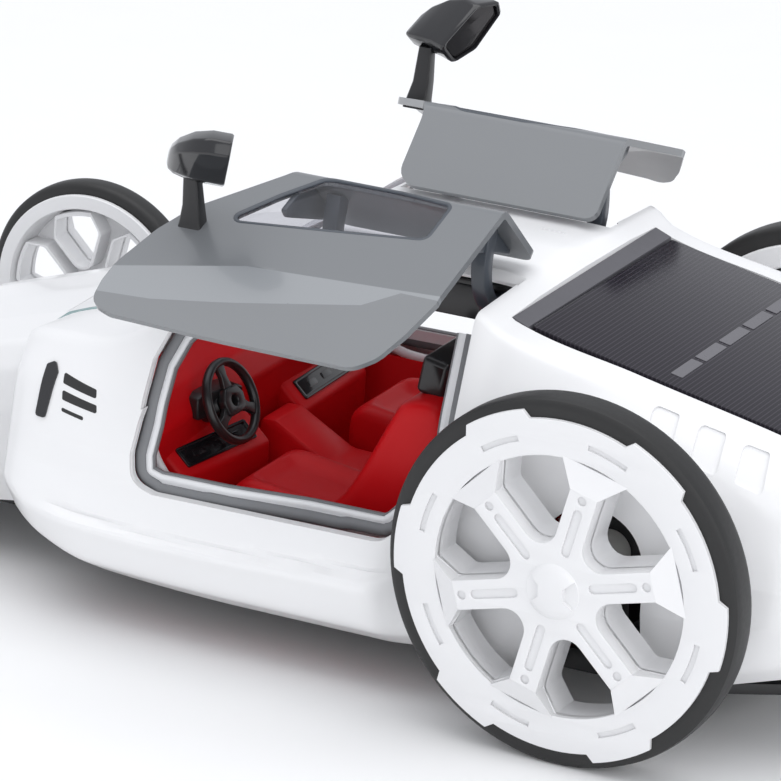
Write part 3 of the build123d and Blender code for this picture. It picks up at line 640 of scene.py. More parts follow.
def make_wheel(name, axle, inner_y):
    """The wheels on an axle: rim, tyre and hub dome, drawn on the left and mirrored."""
    radial = axle.z / MM / REAR_RADIUS
    width = WHEEL_FACE - inner_y
    rise = SPOKE_RISE * radial
    basis = basis_for(Vector((axle.x, WHEEL_FACE * MM, axle.z)), (-1, 0, 0), (0, 0, 1), (0, 1, 0))
    basis = basis @ Matrix.Diagonal((radial, radial, 1, 1))
    gaps = [turned(gap_outline(), SPOKE_TURN + 30 + 60 * k) for k in range(SPOKES)]
    slots = [turned([(x + 10.4, y) for x, y in slot_outline(8.4, 1.5)], SPOKE_TURN + 60 * k)
             for k in range(SPOKES)]
    dimples = [turned(arc(0.75, 0, 330, 11, (16.2, 0)), SPOKE_TURN + 60 * k) for k in range(SPOKES)]
    ring_slots = []
    outer, inner = RING_SLOT_RADII
    for k in range(RING_SLOTS):
        middle = SLOT_TURN + 360 / RING_SLOTS * k
        first, last = middle - RING_SLOT_HALF_ANGLE, middle + RING_SLOT_HALF_ANGLE
        ring_slots.append(arc(outer, first, last, 10) + arc(inner, last, first, 10))
    bore = arc(GAP_RADIUS, 0, 355, 71)
    disc = arc(WEB_RADIUS, 0, 355, 71)
    rim = [
        plate("flange", [flange_outline(), bore] + ring_slots, -0.5, 0, 0.12, basis),
        plate("flange_back", [flange_outline(), bore], -1.0, -0.5, 0.05, basis),
        plate("web", [disc] + gaps, -1.6, -1.0, 0.04, basis),
        plate("star", [star_outline()] + slots + dimples, rise - 0.5, rise, 0.14, basis),
        plate("star_foot", [star_outline()], -1.3, rise - 0.5, 0.02, basis),
    ]
    rim += [ramp(basis, SPOKE_TURN + 60 * k, rise) for k in range(SPOKES)]
    for k in range(SPOKES):
        wall = [turned(gap_outline(1.6, 22.4, 3.8), SPOKE_TURN + 30 + 60 * k), gaps[k]]
        rim.append(plate("gap_wall", wall, -width + 0.8, -0.9, 0.08, basis))
    barrel = [(22.2, -0.8), (25.2, -0.8), (25.2, -width + 1.0), (26.7, -width + 1.0),
              (27.1, -width + 0.8), (27.1, -width + 0.2), (26.9, -width), (23.6, -width),
              (23.3, -width + 0.3), (22.2, -1.6)]
    rim.append(lathe("barrel", barrel, basis))
    bore_radius = 1.6 / radial
    rim.append(lathe("hub", [(bore_radius, -2.5), (4.2, -2.5), (4.0, -width + 0.3), (3.6, -width),
                             (bore_radius, -width)], basis, 48))
    rim_piece = join(f"{name}_rim_detail", *rim)

    tread = [(25.2, -0.9), (27.4, -0.72), (28.7, -0.7), (29.35, -0.85), (29.75, -1.2), (29.93, -1.8),
             (30.0, -2.6), (30.0, -width / 2), (29.97, 2.6 - width), (29.85, 1.9 - width),
             (29.5, 1.4 - width), (28.9, 1.1 - width), (28.2, 1.0 - width), (25.2, 1.0 - width)]
    tyre_piece = lathe(f"{name}_tyre_detail", tread, basis, 128)
    cap = hub_dome(basis, rise)

    body = frame_body(f"{name}_rim_left")
    for side, matrix in SIDES:
        tyre = transformed(tyre_piece, matrix, f"{name}_tyre_{side}_outer")
        settle(tyre, RUBBER, body, "tyre_black", f"{name}_tyre_{side}")
        rim_copy = transformed(rim_piece, matrix, f"{name}_rim_{side}_moulding")
        # the rims take the darker white, which is painted shade
        settle(rim_copy, RIM_WHITE_DARKENED_FOR_SHADE, body, "white_rim", f"{name}_rim_{side}")
    caps = join(f"{name}_hub_domes", transformed(cap, Matrix.Identity(4), "a"), transformed(cap, MIRROR, "b"))
    settle(caps, RIM_WHITE_DARKENED_FOR_SHADE, body, "white_rim", f"{name}_hub_caps", degrees=24)
    for used in (rim_piece, tyre_piece, cap):
        bpy.data.objects.remove(used)


def make_wheels():
    make_wheel("rear", REAR_AXLE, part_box("rear_rim_left")[0].y / MM)
    make_wheel("front", FRONT_AXLE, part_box("front_rim_left")[0].y / MM)


# ---- doors
ROOF_INNER, ROOF_FOLD = (16.0, 65.0), (31.5, 64.3)
DOOR_WALL = 1.2
# creases that bound the facet on a door's side, whose lighter grey is painted light, as (station, height)
UPPER_CREASE = [(24, 43.4), (32.3, 42.9), (59.2, 41.5), (82, 35.5)]
LOWER_CREASE = [(24, 42.4), (32.3, 42.4), (37.5, 38.7), (71.2, 31.5), (82, 30.6)]
DOOR_SIDE = [(25.9, 64.2), (25.9, 42), (28.8, 35.5), (31.5, 30.8), (35, 27.8), (76.5, 27.3), (80.2, 28.4),
             (80.4, 33), (79.7, 38), (77.8, 45.5), (75, 51.5), (62.4, 64.2)]
WINDOW_SIDE = [(34.6, 54.5), (34.6, 63.1), (44.6, 64.0), (57, 64.0), (62.8, 58), (68.7, 50.2), (50.5, 52.4)]
FOLD_ROUND = 2.2
DOOR_LEAN, FACET_LEAN, FOOT_SPREAD, DOOR_FOOT = 0.417, 0.2, 0.35, 27.3


def height_on(line, station):
    """The height of a line of (station, height) at a station."""
    for (x0, z0), (x1, z1) in zip(line, line[1:]):
        if station <= x1:
            return z0 + (z1 - z0) * (station - x0) / (x1 - x0)
    return line[-1][1]


def door_section(station):
    """The closed door's outer line (y, z) at a station, from its roof edge down."""
    upper, lower = height_on(UPPER_CREASE, station), height_on(LOWER_CREASE, station)
    upper_y = ROOF_FOLD[0] + (ROOF_FOLD[1] - upper) * DOOR_LEAN
    lower_y = upper_y + (upper - lower) * FACET_LEAN
    points = [ROOF_INNER, ROOF_FOLD, (upper_y, upper), (lower_y, lower), (lower_y + FOOT_SPREAD, DOOR_FOOT)]
    return rounded(points, [0, FOLD_ROUND, 0, 0, 0], 12, closed=False)


def lengths(line):
    """The distance along a line to each of its points."""
    total = [0.0]
    for a, b in zip(line, line[1:]):
        total.append(total[-1] + math.dist(a, b))
    return total


def along(line, distance):
    """The point at a distance along a line, and the outward normal there."""
    for a, b in zip(line, line[1:]):
        step = math.dist(a, b)
        if distance <= step or b == line[-1]:
            share = distance / step
            direction = ((b[0] - a[0]) / step, (b[1] - a[1]) / step)
            point = (a[0] + (b[0] - a[0]) * share, a[1] + (b[1] - a[1]) * share)
            return point, (-direction[1], direction[0])
        distance -= step


def distance_to_height(station, height):
    """How far down the door's line from its roof edge a height on its side lies."""
    line = door_section(station)
    total = 0.0
    for a, b in zip(line, line[1:]):
        step = math.dist(a, b)
        if a[0] > ROOF_FOLD[0] - FOLD_ROUND and b[1] <= height <= a[1]:
            return total + step * (a[1] - height) / (a[1] - b[1])
        total += step
    return total


def door_point(station, distance, depth):
    (y, z), (ny, nz) = along(door_section(station), distance)
    return (station, y + ny * -depth, z + nz * -depth)


HINGE_AXIS = Matrix.Translation((0, HINGE_Y * MM, HINGE_Z * MM))
OPENED = HINGE_AXIS @ Matrix.Rotation(math.radians(OPEN_ANGLE), 4, "X") @ HINGE_AXIS.inverted()


def flat_sheet(name, outlines, spacing=1.6, station_step=4.0, creases=()):
    """A flat mesh over outlines in (station, distance), cut into strips small enough to bend."""
    flat = mesh_of(filled_curve(name, outlines))
    mesh = bmesh.new()
    mesh.from_mesh(flat)
    bmesh.ops.remove_doubles(mesh, verts=mesh.verts, dist=1e-4)
    bmesh.ops.dissolve_limit(mesh, angle_limit=0.01, verts=mesh.verts, edges=mesh.edges)
    low = [min(v.co[i] for v in mesh.verts) for i in (0, 1)]
    high = [max(v.co[i] for v in mesh.verts) for i in (0, 1)]

    def slice_at(point, normal):
        bmesh.ops.bisect_plane(mesh, geom=mesh.verts[:] + mesh.edges[:] + mesh.faces[:], dist=1e-4,
                               plane_co=point, plane_no=normal)

    for axis, step in ((0, station_step), (1, spacing)):
        count = int((high[axis] - low[axis]) / step)
        for k in range(1, count + 1):
            point, normal = [0, 0, 0], [0, 0, 0]
            point[axis] = low[axis] + (high[axis] - low[axis]) * k / (count + 1)
            normal[axis] = 1
            slice_at(point, normal)
    for (x0, s0), (x1, s1) in creases:
        slice_at((x0, s0, 0), (s1 - s0, x0 - x1, 0))
    mesh.to_mesh(flat)
    mesh.free()
    return link(name, flat)


def fold_lines():
    """Where the section starts and stops turning at the fold, as distances."""
    marks = lengths(door_section(50))
    return [((20, marks[k]), (90, marks[k])) for k in range(1, 14)]


def crease_lines():
    result = []
    for line in (UPPER_CREASE, LOWER_CREASE):
        marks = [(x, distance_to_height(x, z)) for x, z in line]
        result += list(zip(marks, marks[1:]))
    return result


def on_facet(station, distance):
    upper = distance_to_height(station, height_on(UPPER_CREASE, station))
    lower = distance_to_height(station, height_on(LOWER_CREASE, station))
    return upper < distance < lower


def door_sheet(name, outlines, depth, thickness, bevel=0.0, facet=False):
    """Bend a flat sheet to the closed door, thicken it inward and swing it open.

    With facet, faces between the two creases take the second material, a lighter grey that is painted light
    for the light the facet catches."""
    piece = flat_sheet(name, outlines, creases=fold_lines() + crease_lines())
    if facet:
        for polygon in piece.data.polygons:
            polygon.material_index = 1 if on_facet(polygon.center.x, polygon.center.y) else 0
    for vertex in piece.data.vertices:
        vertex.co = at(*door_point(vertex.co.x, vertex.co.y, depth))
    normal = piece.data.polygons[0].normal
    if normal.y + normal.z < 0:
        piece.data.flip_normals()
    modify(piece, "SOLIDIFY", thickness=thickness * MM, offset=-1, use_even_offset=True)
    tidy(piece, 1e-7)
    if bevel:
        edged(piece, bevel, math.radians(50))
    piece.data.transform(OPENED)
    return piece


def side_outline(points):
    return [(x, distance_to_height(x, z)) for x, z in points]


def rim_path(outline, depth):
    """3-D path of (point, outward normal) along an outline on the open door."""
    path = []
    for x, s in outline:
        (y, z), (ny, nz) = along(door_section(x), s)
        point = OPENED @ at(x, y - ny * depth, z - nz * depth)
        path.append((point, (OPENED.to_3x3() @ Vector((0, ny, nz))).normalized()))
    return path


def both_sides(piece, name, paint_material, slot, *nodes, degrees=32, body=None, second=None):
    """Settle a left-hand piece and its mirror image.  Nodes are named without their side.

    Each rides on its door, unless both ride on the body of a node."""
    for side, matrix in SIDES:
        bearer = frame_body(body) if body else f"{side}_door"
        copy = transformed(piece, matrix, f"{name}_{side}")
        settle(copy, paint_material, bearer, slot, *[f"{node}_{side}" for node in nodes], degrees=degrees)
        if second:
            copy.data.materials.append(second)
    bpy.data.objects.remove(piece)


def make_doors():
    side = side_outline(DOOR_SIDE)
    outline = rounded([(25.9, 0), *side[1:-1], (62.4, side[-1][1]), (62.4, 0)],
                      [2.0, 0, 5, 5, 5, 3, 3, 4, 6, 8, 10, 8, 3.5], 6)
    window = rounded(side_outline(WINDOW_SIDE), [1.6, 1.6, 8, 4, 20, 1.4, 8], 6)
    # the faces of the facet take the lighter grey, which is painted light
    skin = door_sheet("door_skin", [outline, window], 0.0, DOOR_WALL, 0.18, facet=True)
    both_sides(skin, "door_skin", GREY, "grey_shell", "door", degrees=7, second=FACET_GREY_PAINTED_LIGHT)
    glass = door_sheet("door_pane", [window], 0.35, 0.7)
    both_sides(glass, "door_pane", SMOKE, "smoke_glass", "door_window", degrees=20)
    gasket = sweep("window_gasket", rim_path(window, 0.25), oval(0.9, 0.7, 10), closed=True)
    both_sides(gasket, "window_gasket", HINGE_GREY, "hinge_grey", degrees=50)


# ---- shapes drawn from given points or from a node
def bridged(name, near, far):
    """A closed solid between two matching outlines of points."""
    count = len(near)
    faces = [tuple(range(count)), tuple(range(count, 2 * count))]
    faces += [(i, (i + 1) % count, count + (i + 1) % count, count + i) for i in range(count)]
    return tidy(build(name, near + far, faces))


def prism(name, near, far):
    """A closed prism between two matching outlines of points in millimetres."""
    return bridged(name, [at(*p) for p in near], [at(*p) for p in far])


def upright(outline, first, last, name="cutter"):
    """A prism over (station, height), between two distances from the centre plane."""
    return prism(name, [(x, first, z) for x, z in outline], [(x, last, z) for x, z in outline])


def lengthwise(outline, first, last, name="cutter"):
    """A prism over (y, height), between two stations."""
    return prism(name, [(first, y, z) for y, z in outline], [(last, y, z) for y, z in outline])


def softened(name, node, width, segments=2):
    """The shape of a CAD node, with its edges rounded."""
    source = frame["nodes"][node]
    data = source.data.copy()
    data.transform(source.matrix_world)
    mesh = bmesh.new()
    mesh.from_mesh(data)
    bmesh.ops.remove_doubles(mesh, verts=mesh.verts, dist=2e-6)
    bmesh.ops.dissolve_limit(mesh, angle_limit=math.radians(1), verts=mesh.verts, edges=mesh.edges)
    mesh.to_mesh(data)
    mesh.free()
    data.materials.clear()
    return edged(link(name, data), width, math.radians(25), segments)


# ---- body shell and nose
CABIN = [(0, 65.5), (16, 64.6), (31.5, 64.3), (40.9, 41.75), (43.3, 32.4), (43.4, 27.6),
         (46.1, 19.4), (43.5, 12), (37, 8)]
BODY = {
    -42: [(0, 47.4), (16, 47.2), (27, 46.3), (30, 42), (31, 37), (31.4, 32), (31.2, 27), (30, 22), (27, 18)],
    -30: [(0, 51), (16, 50.8), (30, 49.8), (35, 44), (37, 36), (38, 31), (38, 25), (36, 18), (32, 14.5)],
    0: [(0, 57.4), (16, 57.2), (30.5, 56.2), (37, 49.5), (39.5, 38), (40.5, 31), (41, 23), (40, 12),
        (35, 8.2)],
    21.5: [(0, 62), (16, 61.9), (30.8, 61), (39.4, 43), (41.4, 34), (41.7, 28), (41.8, 21), (41, 12),
           (36, 8)],
    25: [(0, 65), (16, 64.2), (31.2, 63.4), (40, 42), (41.8, 33), (42, 28), (42, 21), (41, 12), (36, 8)],
    31: [(0, 65.5), (16, 64.6), (31.5, 64.3), (40.9, 41.75), (42.4, 33), (42.6, 28), (42.8, 20), (41.5, 12),
         (36, 8)],
    37: CABIN,
    62: CABIN,
    89: [(0, 50), (16, 49.8), (37, 49), (40.9, 41.75), (43.3, 32.4), (43.4, 27.6), (46.1, 19.8), (43, 12.5),
         (36, 8.5)],
    99: [(0, 46.5), (16, 46.8), (35.5, 48), (39.8, 41), (42, 33), (42.8, 28), (45, 21), (41, 14.5), (34, 10)],
    105: [(0, 44.5), (16, 44.8), (33, 46.5), (38, 40.5), (40, 33), (41, 29), (42.5, 23.5), (38.5, 17),
          (31, 12)],
    110: [(0, 43), (16, 42.8), (26.5, 41.5), (28.5, 37.5), (29.5, 32), (30, 29), (31, 25), (28.5, 19),
          (24, 14)],
}
NOSE = {
    110.4: [(0, 42.9), (14, 42.6), (25.5, 41.3), (28, 37), (29, 30), (28.5, 19), (24, 12)],
    123: [(0, 39), (13, 38.7), (23, 37.2), (26, 33), (27, 26), (26.5, 16), (23, 10)],
    145: [(0, 32), (13, 31.7), (22, 30.2), (25.5, 27), (26.5, 21), (26, 14), (22.5, 9)],
    163: [(0, 25.5), (13, 25), (21, 23.5), (24, 21.5), (25, 18), (24.5, 13), (21, 9.5)],
    172: [(0, 20.5), (11, 20), (17, 19), (19, 17.8), (19.5, 16), (19, 13.5), (16, 12)],
}
BODY_ROUND = [0, 8, 2.6, 12, 5, 4, 2.6, 5, 0]
NOSE_ROUND = [0, 8, 2.5, 4, 6, 5, 0]
SHELL_WALL = 1.6
PAST_SIDES = 60             # beyond the widest part of the body
BELOW_ROOF, ABOVE_ROOF = 40, 80
ROOF_EDGE = 15.6            # the roof between the doors ends here
ARCH_RADIUS = 9
# a narrow slot in the roof, as (station, y), and the heights it is cut between
ROOF_SLOT = [(29, -6.4), (33.4, -6.4), (33.4, -5.9), (29, -5.9)]
ROOF_SLOT_HEIGHTS = 64.9, 67
# the doors' hinge edges sweep through a ring about each hinge line
HINGE_SWEEP = (6.4, 8.4)
HINGE_SWEEP_ENDS = 25.2, 63.6
SILL_TOP, SILL_STEP, SKIN_STEP = 29, 0.8, 2.2
CAP_RINGS = ((0.0, 0.90), (0.12, 0.955), (0.5, 0.985))      # how far in from the end, and scale
CAP_DEPTH = 1.0
CORE_HEIGHT = 30
GROOVE_FIRST, GROOVE_LAST, GROOVE_FADE = 31, 98, 5
GROOVE_LINE = [(30, 22.7), (34.7, 22.6), (48.9, 21.7), (63.5, 20.8), (77.4, 20.5), (88.5, 21.4), (98, 22.3)]
DOOR_OUTLINE = [(25.9, 72), *DOOR_SIDE[1:-1], (62, 64.8), (62, 72)]
OPENING_ROUND = [0, 5, 5, 5, 5, 3.5, 3.5, 4, 6]
DOOR_GAP = 0.4
SWING_RELIEF = [(60, 60), (74, 43), (79.95, 40), (79.5, 47.8), (77.4, 53), (64.6, 66.6), (60, 66.6)]
DECK_SLOPE, PANEL_FRONT, PANEL_TOP, PANEL_LENGTH, PANEL_HALF = 0.207, 19.2, 60.7, 54.0, 24.6
PANEL_REAR = PANEL_FRONT - PANEL_LENGTH


def monotone(xs, ys, x):
    """Cubic interpolation that never overshoots its points."""
    steps = [b - a for a, b in zip(xs, xs[1:])]
    rates = [(b - a) / h for a, b, h in zip(ys, ys[1:], steps)]
    slopes = [rates[0]]
    for a, b, g, h in zip(rates, rates[1:], steps, steps[1:]):
        slopes.append(0.0 if a * b <= 0 else 3 * (g + h) / ((2 * h + g) / a + (h + 2 * g) / b))
    slopes.append(rates[-1])
    k = max(i for i in range(len(steps)) if i == 0 or x >= xs[i])
    h, t = steps[k], (x - xs[k]) / steps[k]
    return (ys[k] * (1 + 2 * t) * (1 - t) ** 2 + slopes[k] * h * t * (1 - t) ** 2
            + ys[k + 1] * t * t * (3 - 2 * t) + slopes[k + 1] * h * t * t * (t - 1))


def section_at(table, radii, x):
    """The half outline of a shell at a station, with its corners rounded."""
    stations = sorted(table)
    points = []
    for k in range(len(radii)):
        points.append(tuple(monotone(stations, [table[s][k][axis] for s in stations], x) for axis in (0, 1)))
    return rounded(points, radii, 4, closed=False)


def grooved(x, y, z):
    """Sink the line that runs along the sill under the door."""
    fade = clamped((x - GROOVE_FIRST) / GROOVE_FADE) * clamped((GROOVE_LAST - x) / GROOVE_FADE)
    if fade == 0 or y < 36:
        return y
    drop = z - height_on(GROOVE_LINE, x)
    return y - fade * (0.85 * math.exp(-(drop / 0.6) ** 2) - 0.25 * math.exp(-((drop + 1.8) / 1.2) ** 2))


def shell(name, table, radii, first, last, spacing, reference, closed_end):
    """Outer skin of a shell, with one end closed and rounded over.  The foot stays open.

    Every section is divided like the one at the reference station, finer along the sill."""
    steps = round((last - first) / spacing)
    stations = [first + (last - first) * k / steps for k in range(steps + 1)]
    line = section_at(table, radii, reference)
    counts = [max(1, math.ceil(math.dist(a, b) / (SILL_STEP if a[1] < SILL_TOP else SKIN_STEP)))
              for a, b in zip(line, line[1:])]
    rows = []
    for x in stations:
        half = [(grooved(x, y, z), z) for y, z in divided(section_at(table, radii, x), counts)]
        rows.append((x, [(-y, z) for y, z in reversed(half[1:])] + half))
    end = rows[0] if closed_end == first else rows[-1]
    inward = 1 if closed_end == first else -1
    middle_z = (max(z for y, z in end[1]) + min(z for y, z in end[1])) / 2
    caps = []
    for back, scale in CAP_RINGS:
        ring = [(y * scale, middle_z + (z - middle_z) * scale) for y, z in end[1]]
        caps.append((end[0] + inward * back, ring))
    if closed_end == first:
        rows = caps + [r for r in rows if r[0] > end[0] + CAP_DEPTH]
    else:
        rows = [r for r in rows if r[0] < end[0] - CAP_DEPTH] + caps[::-1]
    width = len(rows[0][1])
    points = [at(x, y, z) for x, line in rows for y, z in line]
    faces = grid_faces(len(rows), width)
    start = 0 if closed_end == first else (len(rows) - 1) * width
    faces.append(tuple(range(start, start + width)))
    return tidy(build(name, points, faces), 1e-7)


def thickened(piece, thickness=SHELL_WALL):
    """Thicken a skin inward."""
    core = CORE_HEIGHT * MM
    outward = sum(p.normal.dot(p.center - Vector((p.center.x, 0, core))) * p.area
                  for p in piece.data.polygons)
    if outward < 0:
        piece.data.flip_normals()
    return modify(piece, "SOLIDIFY", thickness=thickness * MM, offset=-1)


def surface_tree(piece):
    graph = bpy.context.evaluated_depsgraph_get()
    return BVHTree.FromObject(piece, graph)


def on_flank(tree, x, z, lift=0.0):
    """The point on a shell's left flank at a station and height, and its normal."""
    hit, normal, _, _ = tree.ray_cast(at(x, 80, z), Vector((0, -1, 0)))
    if hit is None:
        hit, normal = at(x, 40, z), Vector((0, 1, 0))
    if normal.y < 0:
        normal = -normal
    return hit + normal * (lift * MM), normal


def on_top(tree, x, y, lift=0.0):
    """The point on a shell's top at a station and distance to the left, and its normal."""
    hit, normal, _, _ = tree.ray_cast(at(x, y, 120), Vector((0, 0, -1)))
    if normal.z < 0:
        normal = -normal
    return hit + normal * (lift * MM), normal


def grown(outline, amount):
    """Move a closed outline of (u, v) outward by an amount."""
    area = sum(a[0] * b[1] - b[0] * a[1] for a, b in zip(outline, outline[1:] + outline[:1]))
    turn = 1 if area > 0 else -1
    result = []
    for before, here, after in zip(outline[-1:] + outline[:-1], outline, outline[1:] + outline[:1]):
        a = (Vector(here) - Vector(before)).normalized()
        b = (Vector(after) - Vector(here)).normalized()
        na, nb = Vector((a.y, -a.x)) * turn, Vector((b.y, -b.x)) * turn
        scale = amount / (1 + na.dot(nb))
        result.append(tuple(Vector(here) + (na + nb) * scale))
    return result


def flank_slab(tree, outline, depth, height):
    """A slab that follows the left flank, between a depth under it and a height over it."""
    inner = [on_flank(tree, x, z, -depth)[0] for x, z in outline]
    outer = [on_flank(tree, x, z, height)[0] for x, z in outline]
    return bridged("slab", inner, outer)


def draped(name, outline, place, thickness):
    """A thin sheet over an outline of (u, v), laid on a surface by place(u, v) and thickened outward."""
    piece = flat_sheet(name, [outline], 1.0, 1.0)
    for vertex in piece.data.vertices:
        vertex.co = place(vertex.co.x, vertex.co.y)
    piece.data.update()
    normal = piece.data.polygons[0].normal
    if normal.y + normal.z < 0:
        piece.data.flip_normals()
    return modify(piece, "SOLIDIFY", thickness=thickness * MM, offset=1)


def deck(station, rise):
    """The height of the solar deck at a station, plus a rise."""
    return PANEL_TOP + DECK_SLOPE * (station - PANEL_FRONT) + rise


VENTS = [[(-5.6, 54.6), (-10.0, 53.7), (-10.6, 49.9), (-6.0, 51.0)],
         [(-13.4, 53.0), (-17.9, 52.1), (-18.6, 46.7), (-13.9, 47.9)],
         [(-20.9, 51.3), (-25.3, 50.4), (-26.2, 44.9), (-21.4, 46.2)]]
VENT_BAR = [(99.6, 35.2), (97.6, 35.2), (96.4, 42.6), (97.4, 44), (99, 43.2)]
FLANK_MARKS = [[(95.2, 42.9), (88.4, 41.6), (88.2, 40.2), (95.0, 41.3)],
               [(94.9, 40.3), (88.0, 39.2), (87.8, 37.9), (94.7, 38.8)],
               [(94.6, 37.6), (90.2, 37.0), (90.1, 36.4), (94.5, 37.0)]]
HOOD_ACCENT = [(109.4, 19.4), (109.2, 15.4), (103.7, 16.0), (100.4, 18.9), (104.5, 19.0)]
FRONT_AXLE_STATION = 142.6
SCREEN_WALL, SCREEN_DEPTH = 1.0, 0.3
SCREEN_HOLE = [(64.5, 25.5), (64.5, -25.5), (86, -31), (86, 31)]
SCREEN_EDGE = [(64.9, 25.3), (64.9, -25.3), (85.7, -30.6), (85.7, 30.6)]


def standing(outline, low, high):
    """A prism over (station, y), between two heights."""
    return prism("cutter", [(x, y, low) for x, y in outline], [(x, y, high) for x, y in outline])


def make_body_shell():
    """The main shell with its openings.  Returns a search tree of its outer skin before they were cut."""
    body = shell("body_shell_moulding", BODY, BODY_ROUND, -42, 110, 1.25, 50, -42)
    tree = surface_tree(body)
    thickened(body)
    cutters = []
    opening = rounded(grown(DOOR_OUTLINE, DOOR_GAP), OPENING_ROUND + [0] * 4, 6)
    for sign in (1, -1):
        cutters.append(upright(opening, sign * ROOF_EDGE, sign * PAST_SIDES))
    well_front, well_rear = 22.2, PANEL_REAR - 0.6
    well = [(well_front, deck(well_front, 6)), (well_front, deck(well_front, -3)),
            (well_rear, deck(PANEL_REAR, -3)), (well_rear, deck(PANEL_REAR, 6))]
    cutters.append(upright(well, -PANEL_HALF - 0.8, PANEL_HALF + 0.8))
    arch = arc(ARCH_RADIUS, 0, 180, 24, (0, REAR_RADIUS)) + [(-ARCH_RADIUS, -10), (ARCH_RADIUS, -10)]
    cutters.append(upright(arch, -PAST_SIDES, PAST_SIDES))
    cutters.append(standing(ROOF_SLOT, *ROOF_SLOT_HEIGHTS))
    for vent in VENTS:
        slab = flank_slab(tree, rounded(vent, 0.7, 4), 0.35, 0.6)
        cutters += [slab, transformed(slab, MIRROR, "slab")]
    cut(body, join("cutters", *cutters))
    cut(body, standing(SCREEN_HOLE, BELOW_ROOF, ABOVE_ROOF))
    for sign in (1, -1):
        cut(body, upright(SWING_RELIEF, sign * 28, sign * 50))
        inner, outer = HINGE_SWEEP
        ring = arc(outer, 95, 15, 16, (HINGE_Y, HINGE_Z)) + arc(inner, 15, 95, 16, (HINGE_Y, HINGE_Z))
        cut(body, lengthwise([(sign * y, z) for y, z in ring], *HINGE_SWEEP_ENDS))
    settle(body, WHITE, frame_body("body_shell"), "white_shell", "body_shell", degrees=22)
    return tree


def make_nose():
    nose = shell("nose_moulding", NOSE, NOSE_ROUND, 110.4, 172, 1.6, 140, 172)
    thickened(nose)
    axle_hole = [(FRONT_AXLE_STATION + u, FRONT_RADIUS + v) for u, v in arc(3.5, 0, 345, 23)]
    cut(nose, upright(axle_hole, -PAST_SIDES, PAST_SIDES))
    settle(nose, WHITE, frame_body("nose_section"), "white_shell", "nose_section", degrees=22)


def make_windscreen():
    """A pane just under the line of the body, cut to the hole in it."""
    line = section_at(BODY, BODY_ROUND, 75)
    counts = [max(1, math.ceil(math.dist(a, b) / 2.5)) for a, b in zip(line, line[1:])]
    stations = range(62, 90)
    points = []
    for x in stations:
        half = divided(section_at(BODY, BODY_ROUND, x), counts)[:sum(counts[:9]) + 1]
        row = [(-y, z) for y, z in reversed(half[1:])] + half
        points += [at(x, y, z - SCREEN_DEPTH) for y, z in row]
    faces = grid_faces(len(stations), len(points) // len(stations))
    screen = tidy(build("windscreen_pane", points, faces))
    thickened(screen, SCREEN_WALL)
    cut(screen, standing(SCREEN_EDGE, BELOW_ROOF, ABOVE_ROOF), operation="INTERSECT")
    settle(screen, SMOKE, frame_body("windscreen"), "smoke_glass", "windscreen", degrees=20)


def make_markings(tree):
    """The vent bars, three plain bars in place of lettering, and the teal accents on the hood."""
    bar = draped("vent_bar_relief", rounded(VENT_BAR, 0.5, 4),
                 lambda x, z: on_flank(tree, x, z, -0.05)[0], 0.35)
    both_sides(bar, "vent_bar_relief", GLOSS_BLACK, "black_plastic", "vent_bar", body="vent_bar_left")
    for number, outline in enumerate(FLANK_MARKS):
        outline = rounded(outline, 0.3, 3)
        mark = draped("flank_mark", outline, lambda x, z: on_flank(tree, x, z, -0.02)[0], 0.06)
        both_sides(mark, f"flank_mark_{number}", GRAPHIC, "black_plastic", body="body_shell")
    stripe = draped("hood_accent", HOOD_ACCENT, lambda x, y: on_top(tree, x, y, -0.02)[0], 0.06)
    both_sides(stripe, "hood_accent", TEAL, "seal_grey", body="body_shell")


# ---- door seals
APERTURE = [(25.5, 60.5), (25.5, 41.9), (28.45, 35.3), (31.2, 30.6), (34.9, 27.4), (76.55, 26.9),
            (80.6, 28.1), (80.8, 33.1), (80.1, 38.1), (79.5, 47.8), (77.4, 53), (71.5, 59.4)]
SEAL_TUCK = 1.6
SEAL_BAND = [(-0.9, -0.6), (1.0, -0.6), (1.1, 0.1), (0.95, 0.7), (0.6, 0.9), (0.1, 0.75), (-0.4, 0.35),
             (-0.9, 0.3)]
# name, how far into the opening, how far under the skin, section, material, slot, node
SEALS = [("opening_lip", -0.3, 0.75, oval(0.8, 1.4, 12), WHITE, "white_shell", ()),
         ("door_seal_gasket", 0.6, 2.55, oval(2.1, 1.25, 14), SEAL, "seal_grey", ()),
         ("door_seal_band", 1.8, 2.95, SEAL_BAND, SEAL_LIGHT, "seal_grey", ("door_seal",)),
         ("door_seal_bead", 3.0, 2.8, oval(0.4, 1.0, 8), SEAL, "seal_grey", ())]
TUB_TRIM = [(81.4, 44), (81, 36), (79.2, 29.6), (74.5, 26.2), (62, 25.9), (38, 26.2), (32.5, 28.2), (30, 33),
            (28.6, 42)]


def aperture_path(tree, inset, depth):
    """Path along the side of the left door opening, moved into the opening and under the skin."""
    line = rounded(APERTURE, OPENING_ROUND + [2, 3, 0], 6, closed=False)
    dense = divided(line, [max(1, round(math.dist(a, b) / 1.5)) for a, b in zip(line, line[1:])])
    path = []
    for (x, z), direction in directed(dense):
        x, z = x - direction.y * inset, z + direction.x * inset
        # the closed door tucks in below its rear crease, and the seals stay under it
        tuck = clamped((64 - x) / 14) * clamped((48 - z) / 8) if depth > 1 else 0
        point, normal = on_flank(tree, x, z, -depth - SEAL_TUCK * tuck)
        path.append((point, Vector((0, normal.y, normal.z)).normalized()))
    return path


def make_openings(tree):
    """The lip and seals round each door opening, and the light trim that laps the edge of the tub."""
    for name, inset, depth, section, finish, slot, nodes in SEALS:
        run = sweep(name, aperture_path(tree, inset, depth), section)
        both_sides(run, name, finish, slot, *nodes, body="door_seal_left", degrees=50)
    path = [(at(x, 37.0, z), Vector((0, 1, 0))) for x, z in smooth_line(TUB_TRIM, 6)]
    trim = sweep("tub_trim", path, oval(1.7, 1.6, 12))
    both_sides(trim, "tub_trim", SEAL_LIGHT, "seal_grey", body="door_seal_left", degrees=50)


